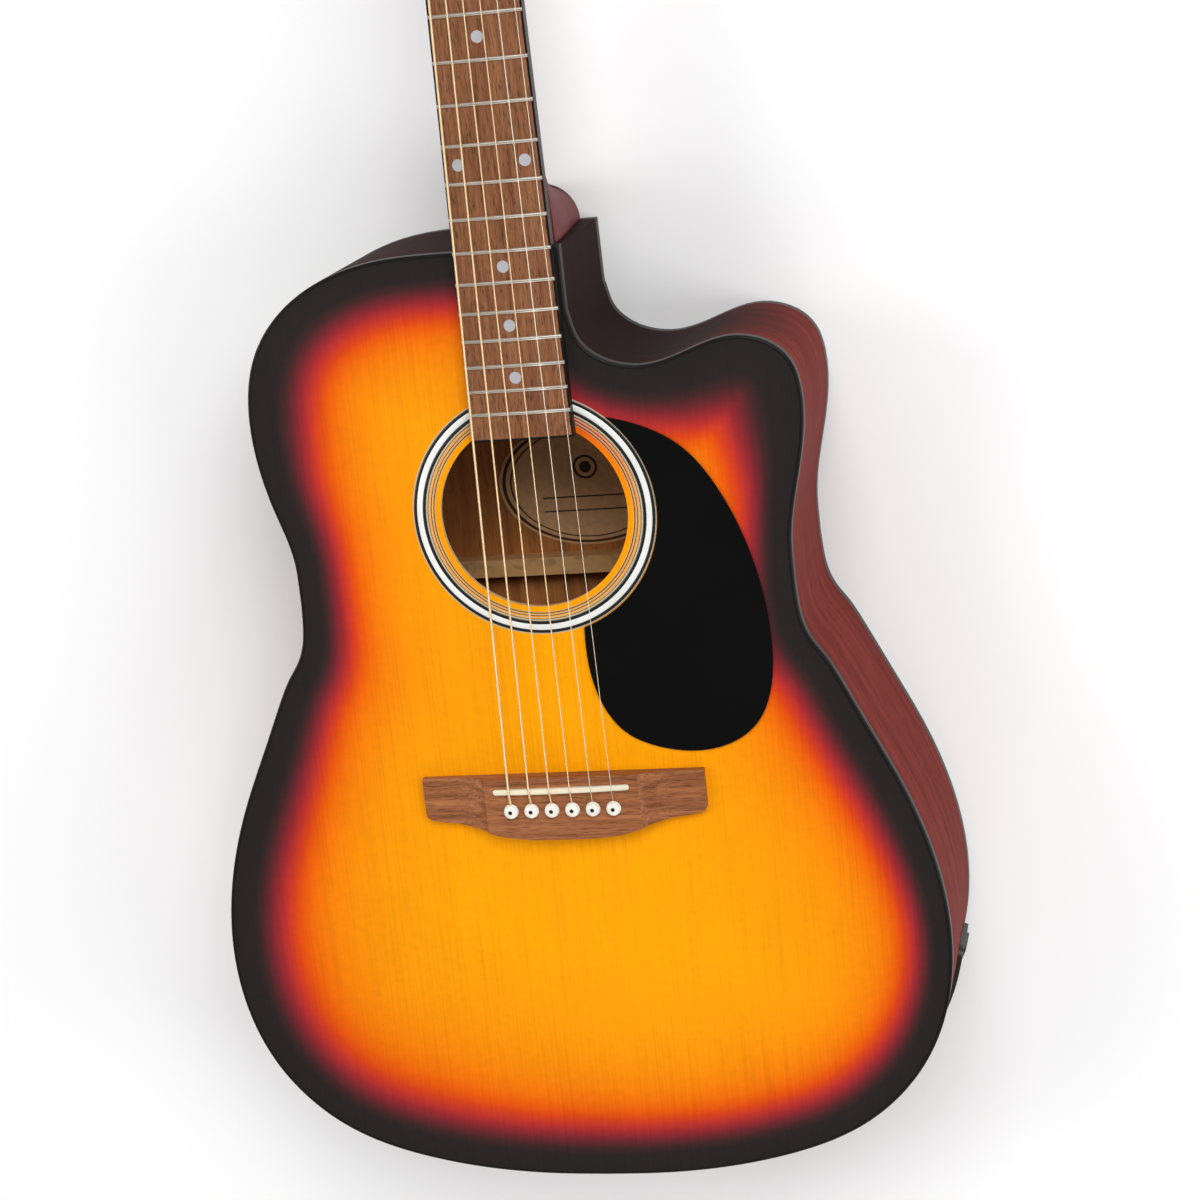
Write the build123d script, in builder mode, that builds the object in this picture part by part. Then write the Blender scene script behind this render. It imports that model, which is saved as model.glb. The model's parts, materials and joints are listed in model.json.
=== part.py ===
"""Steel-string acoustic guitar with a cutaway body, made of its separate pieces.

Every piece is modelled in the guitar's own drawing frame, in millimetres: X runs across the strings
with the treble side at +X, Y runs up the neck with zero at the front of the nut, and Z stands out of
the soundboard with zero on its face. The body gets deeper towards the tail, so at the end each piece
is turned a little and lifted, and the guitar lies with its flat back on the ground.
"""

import os
from math import atan, cos, degrees, radians, sin, sqrt, tan

from build123d import *

os.makedirs("parts", exist_ok=True)

# ---------------------------------------------------------------- driving dimensions, mm
scale_length = 643.0
fret_count = 20
neck_joint_fret = 14
nut_width = 43.0
width_at_fret_12 = 51.0
string_span_nut = 36.0
string_span_bridge = 56.0

depth_at_neck = 100.0
depth_at_tail = 125.0
tail_y = -873.8
lower_bout_half = 200.0
corner_x = 28.5

hole_radius = 50.0
hole_y = -495.7
top_thick = 3.0
side_thick = 2.0
binding_high = 6.0
lining_wide = 6.0
lining_high = 14.0

board_thick = 6.2
board_radius = 350.0
strip_thick = 1.2
fret_wide = 2.0
fret_high = 1.1

headstock_tilt = 14.0
headstock_long = 176.0
headstock_thick = 15.0
veneer_thick = 2.0
nut_thick = 5.0

saddle_y = -644.5
pin_y = -655.4
bridge_front_y = -637.6
bridge_half = 77.0
bridge_high = 9.5

strap_button_z = -62.0
strap_screw_radius = 2.0

running_gap = 0.05

# string radius from the thickest to the thinnest: four wound, two plain
string_radii = [0.67, 0.53, 0.41, 0.33, 0.22, 0.16]
wound_count = 4


# ---------------------------------------------------------------- places worked out from them
def fret_y(number):
    """Where a fret lies, down the scale from the nut."""
    return -scale_length * (1 - 2 ** (-number / 12))


neck_joint_y = round(fret_y(neck_joint_fret), 1)
board_end_y = fret_y(fret_count) - 14.4
width_growth = (width_at_fret_12 - nut_width) / 2 / -fret_y(12)
back_slope = atan((depth_at_tail - depth_at_neck) / (neck_joint_y - tail_y))
back_plane = Plane(
    origin=(0, neck_joint_y, -depth_at_neck),
    x_dir=(1, 0, 0),
    z_dir=(0, -sin(back_slope), cos(back_slope)),
)

# Lying on its back: the back becomes horizontal at height zero, and the origin is below the middle.
middle_y = 356.86
LYING = Location(
    (0, middle_y, depth_at_tail * cos(back_slope) + tail_y * sin(back_slope)),
    (-degrees(back_slope), 0, 0),
)


def save(piece, label):
    """Lay a finished piece on the guitar's back and write it under its name."""
    laid = piece.part.moved(LYING)
    laid.label = label
    export_step(laid, f"parts/{label}.step")


def half_width(y):
    """Half the width of the neck and fingerboard at a place along the neck."""
    return nut_width / 2 - width_growth * y


def crowned(top, radius, x):
    """Height at x of a surface that is an arc of this radius with its crest at this height."""
    return top - radius + sqrt(radius**2 - x**2)


def back_z(y):
    """Height of the back's outer face."""
    return -depth_at_neck + (y - neck_joint_y) * tan(back_slope)


def across(y):
    """The plane across the neck at a place, with its local Y upwards and its normal towards the tail."""
    return Plane(origin=(0, y, 0), x_dir=(1, 0, 0), z_dir=(0, -1, 0))


# ---------------------------------------------------------------- body outline
# short straight stretches at the tail and at the waist keep the long curves apart
waist_x = 133.5
lower_points = [
    (6, tail_y),
    (58, -871),
    (104, -862),
    (145, -845),
    (183, -806),
    (lower_bout_half, -735),
    (182, -655),
    (161, -610),
    (146, -580),
    (waist_x, -532),
]
horn_points = [
    (waist_x, -524),
    (138.5, -490),
    (145.6, -440),
    (140, -421.5),
    (126, -411.3),
    (109, -409.2),
    (87, -415.6),
    (65, -421),
    (47, -417.6),
    (37.2, -411.3),
    (31.8, -403.5),
    (29.3, -394),
    (corner_x, -383),
]
shoulder_points = [
    (waist_x, -524),
    (141, -488),
    (148.5, -440),
    (140, -401),
    (115, -374),
    (76, -359),
    (corner_x, neck_joint_y),
]

# All three run away from the tail on the treble side; the body's bass side uses mirrored copies.
with BuildLine() as edges:
    lower_edge = Spline(*lower_points, tangents=[(1, 0), (0, 1)])
    horn_edge = Spline(*horn_points, tangents=[(0, 1), (0, 1)])
    shoulder_edge = Spline(*shoulder_points, tangents=[(0, 1), (-1, 0)])
outline_step = 10.0


def moved_in(edge, distance):
    """Evenly spaced points of an edge, each moved square to the edge into the body."""
    steps = round(edge.length / outline_step)
    moved = []
    for step in range(steps + 1):
        point = edge @ (step / steps)
        along = edge % (step / steps)
        moved.append((point.X - along.Y * distance, point.Y + along.X * distance))
    return moved


def mirrored(points):
    """The same points on the bass side."""
    return [(-x, y) for x, y in points]


def inset(distance):
    """The body outline moved in by a distance, or out where it is negative."""
    lower = moved_in(lower_edge, distance)
    horn = moved_in(horn_edge, distance)
    shoulder = mirrored(moved_in(shoulder_edge, distance))
    with BuildSketch() as moved:
        with BuildLine():
            Line(mirrored(lower)[0], lower[0])
            Spline(*lower, tangents=[(1, 0), (0, 1)])
            Line(lower[-1], horn[0])
            Spline(*horn, tangents=[(0, 1), (0, 1)])
            Polyline(horn[-1], (horn[-1][0], shoulder[-1][1]), shoulder[-1])
            Spline(*shoulder, tangents=[(0, 1), (1, 0)])
            Line(shoulder[0], mirrored(lower)[-1])
            Spline(*mirrored(lower), tangents=[(-1, 0), (0, 1)])
        make_face()
    return moved.sketch


outline = inset(0)
inside_binding = inset(side_thick)
inside_lining = inset(side_thick + lining_wide)

# more than the body's depth anywhere, for cuts that go right through it
tall = depth_at_tail + 10.0
block_long = 50.0
block_half = corner_x - side_thick
tail_block_half = 42.0
tail_block_long = 18.0
graft_half = 3.0

rod_z = -6.7
rod_radius = 2.4
rod_gap = 0.3
rod_start_y = -19.0
rod_end_y = -374.0
rod_passage_half = 5.0
rod_passage_deep = 12.0
rod_passage_high = 7.4
tenon_half = 11.0
tenon_long = 22.0
tenon_top = -15.0
tenon_bottom = -84.0


def cut_neck_passages():
    """Openings at the end of the body for the truss rod and for the heel's tenon."""
    with BuildSketch(Plane.XY) as passage:
        with Locations((0, neck_joint_y)):
            Rectangle(2 * rod_passage_half, block_half)
    extrude(passage.sketch, amount=-rod_passage_deep, mode=Mode.SUBTRACT)
    with BuildSketch(Plane.XY.offset(tenon_top)) as mortise:
        with Locations((0, neck_joint_y)):
            Rectangle(2 * tenon_half, 2 * tenon_long)
    extrude(mortise.sketch, amount=tenon_bottom - tenon_top, mode=Mode.SUBTRACT)


def cut_rectangle(x_low, x_high, y_low, y_high, z_high, z_low):
    """Take away an upright block of this size."""
    with BuildSketch(Plane.XY.offset(z_high)) as block:
        with Locations(((x_low + x_high) / 2, (y_low + y_high) / 2)):
            Rectangle(x_high - x_low, y_high - y_low)
    extrude(block.sketch, amount=z_low - z_high, mode=Mode.SUBTRACT)


def ring(outer, inner, z_high, z_low):
    """An upright wall between two outlines."""
    with BuildSketch(Plane.XY.offset(z_high)) as wall:
        add(outer)
        add(inner, mode=Mode.SUBTRACT)
    extrude(wall.sketch, amount=z_low - z_high)


def cut_strap_screw():
    """The hole at the tail for the strap button's screw."""
    with BuildSketch(Plane.XZ.offset(-tail_y)) as hole:
        with Locations((0, strap_button_z)):
            Circle(strap_screw_radius)
    extrude(hole.sketch, amount=tail_block_long + side_thick, both=True, mode=Mode.SUBTRACT)


string_count = len(string_radii)
pin_x = [(i / (string_count - 1) - 0.5) * string_span_bridge for i in range(string_count)]
nut_x = [(i / (string_count - 1) - 0.5) * string_span_nut for i in range(string_count)]

pin_hole_radius = 2.6
string_slot_half = 0.85
string_slot_long = 3.3


def cut_pin_holes(z_high, z_low):
    """Holes for the six bridge pins, each with a slot for its string towards the saddle."""
    with BuildSketch(Plane.XY.offset(z_high)) as holes:
        with Locations([(x, pin_y) for x in pin_x]):
            Circle(pin_hole_radius)
        with Locations([(x, pin_y + string_slot_long / 2) for x in pin_x]):
            Rectangle(2 * string_slot_half, string_slot_long)
    extrude(holes.sketch, amount=z_low - z_high, mode=Mode.SUBTRACT)


# ---------------------------------------------------------------- soundboard and rosette
# inner and outer radius of each inlaid ring: fine lines inside, three broad rings, a fine line outside
rosette_rings = [
    (53.1, 53.4),
    (53.4, 53.9),
    (54.4, 54.9),
    (54.9, 55.3),
    (55.9, 56.4),
    (56.8, 57.1),
    (57.1, 58.0),
    (58.0, 59.8),
    (59.8, 62.8),
    (62.8, 64.5),
    (64.5, 65.1),
]
rosette_deep = 1.0

with BuildPart() as soundboard:
    with BuildSketch():
        add(inside_binding)
        with Locations((0, hole_y)):
            Circle(hole_radius, mode=Mode.SUBTRACT)
    extrude(amount=-top_thick)
    with BuildSketch():
        with Locations((0, hole_y)):
            # outermost first, as each ring's opening empties everything inside it
            for inner, outer in reversed(rosette_rings):
                Circle(outer)
                Circle(inner, mode=Mode.SUBTRACT)
    extrude(amount=-rosette_deep, mode=Mode.SUBTRACT)
    cut_pin_holes(0, -top_thick)
save(soundboard, "soundboard")

with BuildPart() as rosette:
    for inner, outer in rosette_rings:
        with BuildSketch():
            with Locations((0, hole_y)):
                Circle(outer)
                Circle(inner, mode=Mode.SUBTRACT)
        extrude(amount=-rosette_deep, clean=False)
save(rosette, "rosette")

# ---------------------------------------------------------------- sides, back, binding and lining
back_thick = 3.0
inner_back = back_plane.offset(back_thick)
under_lining = back_plane.offset(back_thick + lining_high)
over_binding = back_plane.offset(binding_high)

preamp_y = -468.0
preamp_z = -52.0
preamp_size = (72.0, 38.0)
preamp_box = (64.0, 30.0)
preamp_deep = 24.0
jack_y = -795.0
jack_z = -72.0
jack_size = (64.0, 42.0)
plate_proud = 2.5
drawer_size = (28.2, 19.2)
drawer_gap = 0.4
drawer_along = 13.0
drawer_deep = 56.0
drawer_floor = 1.5
drawer_front = 3.0
box_wall = 1.5
box_inner = (drawer_size[0] + 2 * drawer_gap, drawer_size[1] + 2 * drawer_gap)
box_outer = (box_inner[0] + 2 * box_wall, box_inner[1] + 2 * box_wall)
socket_along = -18.0
socket_hole_radius = 3.25
socket_body_radius = 9.0
socket_body_long = 30.0
through_side = 20.0


def rim_plane(edge, side, y, z):
    """The plane that touches the side at a place and a height, found by halving steps along an edge.
    Its normal points out of the body and its local X runs level along the side."""
    low, high = 0.02, 0.98
    for _ in range(40):
        half = (low + high) / 2
        if (edge @ half).Y < y:
            low = half
        else:
            high = half
    point = edge @ low
    along = edge % low
    outward = Vector(side * along.Y, -along.X, 0)
    return Plane(origin=(side * point.X, point.Y, z), x_dir=Vector(0, 0, 1).cross(outward), z_dir=outward)


preamp_plane = rim_plane(shoulder_edge, -1, preamp_y, preamp_z)
jack_plane = rim_plane(lower_edge, 1, jack_y, jack_z)


def cut_through(plane, width, height, depth, along=0.0):
    """Take away a rectangular hole square to a plane, this far both in and out."""
    with BuildSketch(plane) as hole:
        with Locations((along, 0)):
            Rectangle(width, height)
    extrude(hole.sketch, amount=depth, both=True, mode=Mode.SUBTRACT)


def one_side(x_keep):
    """One bent side, from the tail graft to the middle of the neck end."""
    ring(outline, inside_binding, -binding_high, -tall)
    split(bisect_by=over_binding, keep=Keep.TOP)
    cut_neck_passages()
    split(bisect_by=Plane.YZ, keep=Keep.TOP if x_keep > 0 else Keep.BOTTOM)
    cut_rectangle(-graft_half, graft_half, tail_y - 5, tail_y + 25, 0, -2 * tall)


with BuildPart() as side_bass:
    one_side(-1)
    cut_through(preamp_plane, *preamp_box, through_side)
save(side_bass, "side_bass")

with BuildPart() as side_treble:
    one_side(1)
    cut_through(jack_plane, *box_outer, through_side, along=drawer_along)
    with BuildSketch(jack_plane):
        with Locations((socket_along, 0)):
            Circle(socket_body_radius)
    extrude(amount=through_side, both=True, mode=Mode.SUBTRACT)
save(side_treble, "side_treble")

with BuildPart() as tail_graft:
    ring(outline, inside_binding, -binding_high, -tall)
    split(bisect_by=over_binding, keep=Keep.TOP)
    with BuildSketch(Plane.XY):
        with Locations((0, tail_y)):
            Rectangle(2 * graft_half, 2 * tail_block_long)
    extrude(amount=-tall, mode=Mode.INTERSECT)
    cut_strap_screw()
save(tail_graft, "tail_graft")

with BuildPart() as binding_top:
    ring(outline, inside_binding, 0, -binding_high)
    cut_neck_passages()
save(binding_top, "binding_top")

with BuildPart() as binding_back:
    ring(outline, inside_binding, 0, -tall)
    with BuildSketch(back_plane):
        with Locations((0, (tail_y - neck_joint_y) / 2)):
            Rectangle(3 * lower_bout_half, -tail_y)
    extrude(amount=binding_high, mode=Mode.INTERSECT)
save(binding_back, "binding_back")

with BuildPart() as back_plate:
    with BuildSketch():
        add(inside_binding)
    extrude(amount=-tall)
    split(bisect_by=back_plane, keep=Keep.TOP)
    split(bisect_by=inner_back, keep=Keep.BOTTOM)
save(back_plate, "back_plate")


def cut_blocks():
    """Room in the lining for the neck block, the tail block and the electrics."""
    cut_rectangle(-block_half, block_half, neck_joint_y - 2 - block_long, neck_joint_y, 0, -tall)
    cut_rectangle(-tail_block_half, tail_block_half, tail_y, tail_y + 2 + tail_block_long, 0, -tall)


with BuildPart() as lining_top:
    ring(inside_binding, inside_lining, -top_thick, -top_thick - lining_high)
    cut_blocks()
save(lining_top, "lining_top")

with BuildPart() as lining_back:
    ring(inside_binding, inside_lining, 0, -tall)
    split(bisect_by=inner_back, keep=Keep.TOP)
    split(bisect_by=under_lining, keep=Keep.BOTTOM)
    cut_blocks()
save(lining_back, "lining_back")

with BuildPart() as neck_block:
    with BuildSketch(Plane.XY.offset(-top_thick)):
        with Locations((0, neck_joint_y - side_thick - block_long / 2)):
            Rectangle(2 * block_half, block_long)
    extrude(amount=-tall)
    split(bisect_by=inner_back, keep=Keep.TOP)
    cut_neck_passages()
    with BuildSketch(across(neck_joint_y)):
        with Locations((0, rod_z)):
            Rectangle(2 * rod_passage_half, rod_passage_high)
    extrude(amount=block_long + 5, mode=Mode.SUBTRACT)
save(neck_block, "neck_block")

with BuildPart() as tail_block:
    with BuildSketch(Plane.XY.offset(-top_thick)):
        add(inside_binding)
        with Locations((0, tail_y + side_thick + tail_block_long / 2)):
            Rectangle(2 * tail_block_half, tail_block_long, mode=Mode.INTERSECT)
    extrude(amount=-tall)
    split(bisect_by=inner_back, keep=Keep.TOP)
    cut_strap_screw()
save(tail_block, "tail_block")

# ---------------------------------------------------------------- braces inside the body
brace_end_high = 4.0


def brace(x, y, angle, length, width, height, end_taper=30.0):
    """A bar under the soundboard, turned by an angle, that tapers towards both ends."""
    half = length / 2
    plane = Plane(
        origin=(x, y, -top_thick),
        x_dir=(cos(radians(angle)), sin(radians(angle)), 0),
        z_dir=(sin(radians(angle)), -cos(radians(angle)), 0),
    )
    with BuildSketch(plane) as profile:
        Polygon(
            (-half, 0),
            (-half, -brace_end_high),
            (-half + end_taper, -height),
            (half - end_taper, -height),
            (half, -brace_end_high),
            (half, 0),
        )
    extrude(profile.sketch, amount=width / 2, both=True)


x_angle = 41.0
x_cross_y = -598.0
x_upper_reach = 156.0
x_lower_reach = 238.0
x_brace_wide = 8.0
x_brace_high = 15.0


def x_arm(side):
    """One of the two long bars, from the waist across the middle to the far side of the lower bout."""
    middle = (x_lower_reach - x_upper_reach) / 2
    brace(
        side * middle * cos(radians(x_angle)),
        x_cross_y - middle * sin(radians(x_angle)),
        -side * x_angle,
        x_lower_reach + x_upper_reach,
        x_brace_wide,
        x_brace_high,
    )


with BuildPart() as x_braces:
    x_arm(1)
    x_arm(-1)
save(x_braces, "x_braces")

upper_brace_y = -437.0
upper_brace_wide = 11.0
wrench_hole_radius = 5.0
with BuildPart() as upper_brace:
    brace(-1, upper_brace_y, 0, 262, upper_brace_wide, x_brace_high)
    with BuildSketch(across(upper_brace_y + upper_brace_wide)):
        with Locations((0, rod_z - 4)):
            Circle(wrench_hole_radius)
    extrude(amount=2 * upper_brace_wide, mode=Mode.SUBTRACT)
save(upper_brace, "upper_brace")

# the lesser bars: middle, angle, length, width, height and the length of each tapered end
tone_bar_rows = [(0, -726, 15, 176, 7, 11, 30), (-28, -780, 15, 186, 7, 11, 30)]
finger_rows = [(side * 118, -646, -side * 20, 62, 6, 8, 20) for side in (-1, 1)]
hole_rows = [(side * (hole_radius + 9), -491, 90, 86, 10, 4.2, 6) for side in (-1, 1)]
with BuildPart() as tone_bars:
    for row in tone_bar_rows + finger_rows + hole_rows:
        brace(*row)
save(tone_bars, "tone_bars")

bridge_plate_thick = 2.5
with BuildPart() as bridge_plate:
    with BuildSketch(Plane.XY.offset(-top_thick)):
        Polygon((-34, -636), (34, -636), (82, -684), (-82, -684))
    extrude(amount=-bridge_plate_thick)
    cut_pin_holes(0, -top_thick - bridge_plate_thick)
save(bridge_plate, "bridge_plate")

# where each back brace lies, its width and its height
back_brace_rows = [(-430, 9, 13), (-548, 10, 13), (-655, 16, 11), (-765, 16, 11)]
with BuildPart() as back_braces:
    for y, width, height in back_brace_rows:
        with BuildSketch():
            add(inside_lining)
            with Locations((0, y)):
                Rectangle(3 * lower_bout_half, width, mode=Mode.INTERSECT)
        extrude(amount=-tall)
        brace_top = back_z(y) + back_thick + height
        cut_rectangle(-lower_bout_half, lower_bout_half, y - width, y + width, 5, brace_top)
    split(bisect_by=inner_back, keep=Keep.TOP)
    cut_rectangle(-block_half, block_half, neck_joint_y - 2 - block_long, neck_joint_y, 5, -tall)
save(back_braces, "back_braces")

label_middle = (6.0, -147.0)
label_half = (50.0, 36.0)
label_thick = 0.3
with BuildPart() as soundhole_label:
    with BuildSketch(Plane(inner_back.origin, x_dir=(1, 0, 0), z_dir=inner_back.z_dir)):
        with Locations(label_middle):
            Ellipse(*label_half)
    extrude(amount=label_thick)
save(soundhole_label, "soundhole_label")

# ---------------------------------------------------------------- pickguard
guard_points = [
    (40, -446),
    (61, -452),
    (81, -464),
    (97, -485),
    (109, -512),
    (116.5, -542),
    (119, -570),
    (116, -597),
    (108, -613.5),
    (95, -623.5),
    (75, -628),
    (54, -625),
    (36.5, -616),
    (25, -598),
    (20.5, -576),
    (21, -552),
]
guard_thick = 1.2
guard_gap = 0.4
with BuildPart() as pickguard:
    with BuildSketch():
        with BuildLine():
            Spline(*guard_points)
            Line(guard_points[-1], guard_points[0])
        make_face()
        with Locations((0, hole_y)):
            Circle(rosette_rings[-1][1] + guard_gap, mode=Mode.SUBTRACT)
    extrude(amount=guard_thick)
save(pickguard, "pickguard")

# ---------------------------------------------------------------- bridge
wing_rear_y = bridge_front_y - 23.7
belly_rear_y = bridge_front_y - 35.0
wing_high = 4.5
saddle_long = 74.5
saddle_wide = 3.2
saddle_corner = 1.5
saddle_turn = 0.5
slot_floor = 3.0
pickup_thick = 1.1
crown_half = 42.0
scoop_end = 60.0

# the rear edge on the treble side, from the rounded end of the wing to the belly
rear_points = [
    (bridge_half, wing_rear_y + 4.0),
    (bridge_half - 3.5, wing_rear_y),
    (63, wing_rear_y - 1.7),
    (52, wing_rear_y - 3.6),
    (43, wing_rear_y - 6.1),
    (36, wing_rear_y - 8.4),
    (26, wing_rear_y - 10.3),
]

with BuildPart() as bridge:
    with BuildSketch():
        with BuildLine():
            Line((-bridge_half, bridge_front_y), (bridge_half, bridge_front_y))
            Line((bridge_half, bridge_front_y), rear_points[0])
            Spline(
                *rear_points,
                (0, belly_rear_y),
                *reversed(mirrored(rear_points)),
                tangents=[(0, -1), (0, 1)],
            )
            Line(mirrored(rear_points)[0], (-bridge_half, bridge_front_y))
        make_face()
    extrude(amount=bridge_high)
    with BuildSketch(across(bridge_front_y + 1)):
        with BuildLine():
            Line((0, 0), (bridge_half, 0))
            Line((bridge_half, 0), (bridge_half, wing_high))
            Line((bridge_half, wing_high), (scoop_end, wing_high))
            Spline(
                (scoop_end, wing_high),
                (50, 6.2),
                (crown_half, bridge_high),
                tangents=[(-1, 0), (-0.6, 1)],
            )
            Line((crown_half, bridge_high), (0, bridge_high))
            mirror(about=Plane.YZ)
        make_face()
    extrude(amount=bridge_half, mode=Mode.INTERSECT)
    cut_pin_holes(2 * bridge_high, 0)
    with BuildSketch(Plane.XY.offset(slot_floor)):
        with Locations(Location((0, saddle_y, 0), saddle_turn)):
            RectangleRounded(saddle_long, saddle_wide, saddle_corner)
    extrude(amount=20, mode=Mode.SUBTRACT)
save(bridge, "bridge")

saddle_top = 12.3
saddle_radius = 400.0
with BuildPart() as saddle:
    with BuildSketch(Plane.XY.offset(slot_floor + pickup_thick)):
        with Locations(Location((0, saddle_y, 0), saddle_turn)):
            RectangleRounded(saddle_long, saddle_wide, saddle_corner)
    extrude(amount=2 * saddle_top)
    with BuildSketch(across(saddle_y + 10)):
        with BuildLine():
            edge = crowned(saddle_top, saddle_radius, saddle_long)
            ThreePointArc((-saddle_long, edge), (0, saddle_top), (saddle_long, edge))
            Polyline((saddle_long, edge), (saddle_long, 0), (-saddle_long, 0), (-saddle_long, edge))
        make_face()
    extrude(amount=20, mode=Mode.INTERSECT)
    fillet(saddle.faces().sort_by(Axis.Z)[-1].outer_wire().edges(), 1.3)
save(saddle, "saddle")

with BuildPart() as saddle_pickup:
    with BuildSketch(Plane.XY.offset(slot_floor)):
        with Locations(Location((0, saddle_y, 0), saddle_turn)):
            Rectangle(saddle_long - saddle_wide, saddle_wide - 0.4)
    extrude(amount=pickup_thick)
save(saddle_pickup, "saddle_pickup")

pin_head_radius = 4.0
pin_shank_radius = 2.5
pin_end_z = -5.8
pin_dome_z = bridge_high + 3.6
dot_floor_z = bridge_high + 3.2
pin_dot_radius = 0.9
pin_notch_half = 0.95
pin_notch_start = 1.45
string_in_slot_y = pin_y + 2.35
with BuildPart() as bridge_pins:
    for x in pin_x:
        with BuildSketch(Plane(origin=(x, pin_y, 0), x_dir=(1, 0, 0), z_dir=(0, -1, 0))):
            with BuildLine():
                Polyline(
                    (0, pin_dome_z),
                    (0, pin_end_z),
                    (pin_shank_radius, pin_end_z),
                    (pin_shank_radius, bridge_high),
                    (pin_head_radius, bridge_high),
                    (pin_head_radius, bridge_high + 1.2),
                )
                ThreePointArc((pin_head_radius, bridge_high + 1.2), (2.6, bridge_high + 3.0), (0, pin_dome_z))
            make_face()
        revolve(axis=Axis((x, pin_y, 0), (0, 0, 1)))
        with BuildSketch(Plane.XY.offset(pin_end_z)):
            with Locations((x, pin_y + pin_notch_start + pin_head_radius)):
                Rectangle(2 * pin_notch_half, 2 * pin_head_radius)
        extrude(amount=pin_dome_z - pin_end_z, mode=Mode.SUBTRACT)
        with BuildSketch(Plane.XY.offset(dot_floor_z)):
            with Locations((x, pin_y)):
                Circle(pin_dot_radius)
        extrude(amount=pin_dome_z - dot_floor_z, mode=Mode.SUBTRACT)
        with BuildSketch(Plane.XY.offset(dot_floor_z)):
            with Locations((x, pin_y)):
                Circle(pin_dot_radius)
        extrude(amount=0.3, clean=False)
save(bridge_pins, "bridge_pins")

# ---------------------------------------------------------------- fingerboard and frets
dot_radius = 3.1
dot_frets = [3, 5, 7, 9, 15, 17, 19]
double_dot_fret = 12
double_dot_half = 17.4


def dot_places():
    """Centres of the position dots, halfway between two frets, with a pair at the octave."""
    places = [(0, (fret_y(n) + fret_y(n - 1)) / 2) for n in dot_frets]
    octave = (fret_y(double_dot_fret) + fret_y(double_dot_fret - 1)) / 2
    return places + [(-double_dot_half, octave), (double_dot_half, octave)]


def board_plan(trim, y_high, y_low, mode=Mode.ADD):
    """The tapered plan of the fingerboard, narrowed by a margin on both sides."""
    Polygon(
        (-half_width(y_high) + trim, y_high),
        (half_width(y_high) - trim, y_high),
        (half_width(y_low) - trim, y_low),
        (-half_width(y_low) + trim, y_low),
        mode=mode,
    )


def keep_under_crown(floor=-5.0, half=40.0):
    """Trim the part so far to the fingerboard's arch."""
    edge = crowned(board_thick, board_radius, half)
    with BuildSketch(across(10)) as section:
        with BuildLine():
            ThreePointArc((-half, edge), (0, board_thick), (half, edge))
            Polyline((half, edge), (half, floor), (-half, floor), (-half, edge))
        make_face()
    extrude(section.sketch, amount=500, mode=Mode.INTERSECT)


dot_deep = 1.5
tang_wide = 0.55
tang_floor = board_thick - 2.2
with BuildPart() as fingerboard:
    with BuildSketch():
        board_plan(strip_thick, 0, board_end_y + strip_thick)
    extrude(amount=board_thick + 1)
    keep_under_crown()
    with BuildSketch(Plane.XY.offset(board_thick - dot_deep)):
        with Locations(dot_places()):
            Circle(dot_radius)
    extrude(amount=5, mode=Mode.SUBTRACT)
    with BuildSketch(Plane.XY.offset(tang_floor)):
        with Locations([(0, fret_y(n)) for n in range(1, fret_count + 1)]):
            Rectangle(80, tang_wide)
    extrude(amount=5, mode=Mode.SUBTRACT)
save(fingerboard, "fingerboard")

side_dot_radius = 1.0
side_dot_z = 3.0
side_dot_deep = 0.9
with BuildPart() as fingerboard_sides:
    with BuildSketch():
        board_plan(0, 0, board_end_y)
        board_plan(strip_thick, 0, board_end_y + strip_thick, Mode.SUBTRACT)
    extrude(amount=board_thick)
    keep_under_crown()
    for x, y in dot_places():
        with BuildSketch(Plane(origin=(-half_width(y) - 2, y, side_dot_z), z_dir=(1, 0, 0))):
            Circle(side_dot_radius)
        extrude(amount=2 + strip_thick + 0.1, mode=Mode.SUBTRACT)
save(fingerboard_sides, "fingerboard_sides")

with BuildPart() as position_dots:
    with BuildSketch(Plane.XY.offset(board_thick - dot_deep)):
        with Locations(dot_places()):
            Circle(dot_radius)
    extrude(amount=2 * dot_deep)
    keep_under_crown()
    for x, y in dot_places():
        with BuildSketch(Plane(origin=(-half_width(y) + 0.1, y, side_dot_z), z_dir=(1, 0, 0))):
            Circle(side_dot_radius)
        extrude(amount=side_dot_deep)
save(position_dots, "position_dots")


def fret(y):
    """A T-shaped fret: its tang stands in a slot and its crown is rounded along the top."""
    half = half_width(y) - 0.2
    low = crowned(board_thick, board_radius, half)
    with BuildPart() as wire:
        with BuildSketch(across(y + fret_wide / 2)):
            with BuildLine():
                ThreePointArc((-half, low), (0, board_thick), (half, low))
                Line((half, low), (half, low + fret_high))
                ThreePointArc((half, low + fret_high), (0, board_thick + fret_high), (-half, low + fret_high))
                Line((-half, low + fret_high), (-half, low))
            make_face()
        extrude(amount=fret_wide)
        fillet(wire.edges().filter_by(GeomType.CIRCLE).sort_by(Axis.Z)[-2:], 0.9)
        wood = half - strip_thick
        wood_low = crowned(board_thick, board_radius, wood)
        with BuildSketch(across(y + tang_wide / 2)):
            with BuildLine():
                ThreePointArc((-wood, wood_low), (0, board_thick), (wood, wood_low))
                Polyline((wood, wood_low), (wood, tang_floor), (-wood, tang_floor), (-wood, wood_low))
            make_face()
        extrude(amount=tang_wide)
    return wire.part


with BuildPart() as frets:
    for number in range(1, fret_count + 1):
        add(fret(fret_y(number)))
save(frets, "frets")

string_rest = 7.25
nut_top = 8.2
nut_edge_drop = 0.5
nut_slot_gap = 0.25
nut_slot_slope = 1.6
above_nut = 12.0


def nut_rest(x):
    """Height of the bottom of a string's slot in the nut."""
    return crowned(string_rest, board_radius, x)


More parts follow.
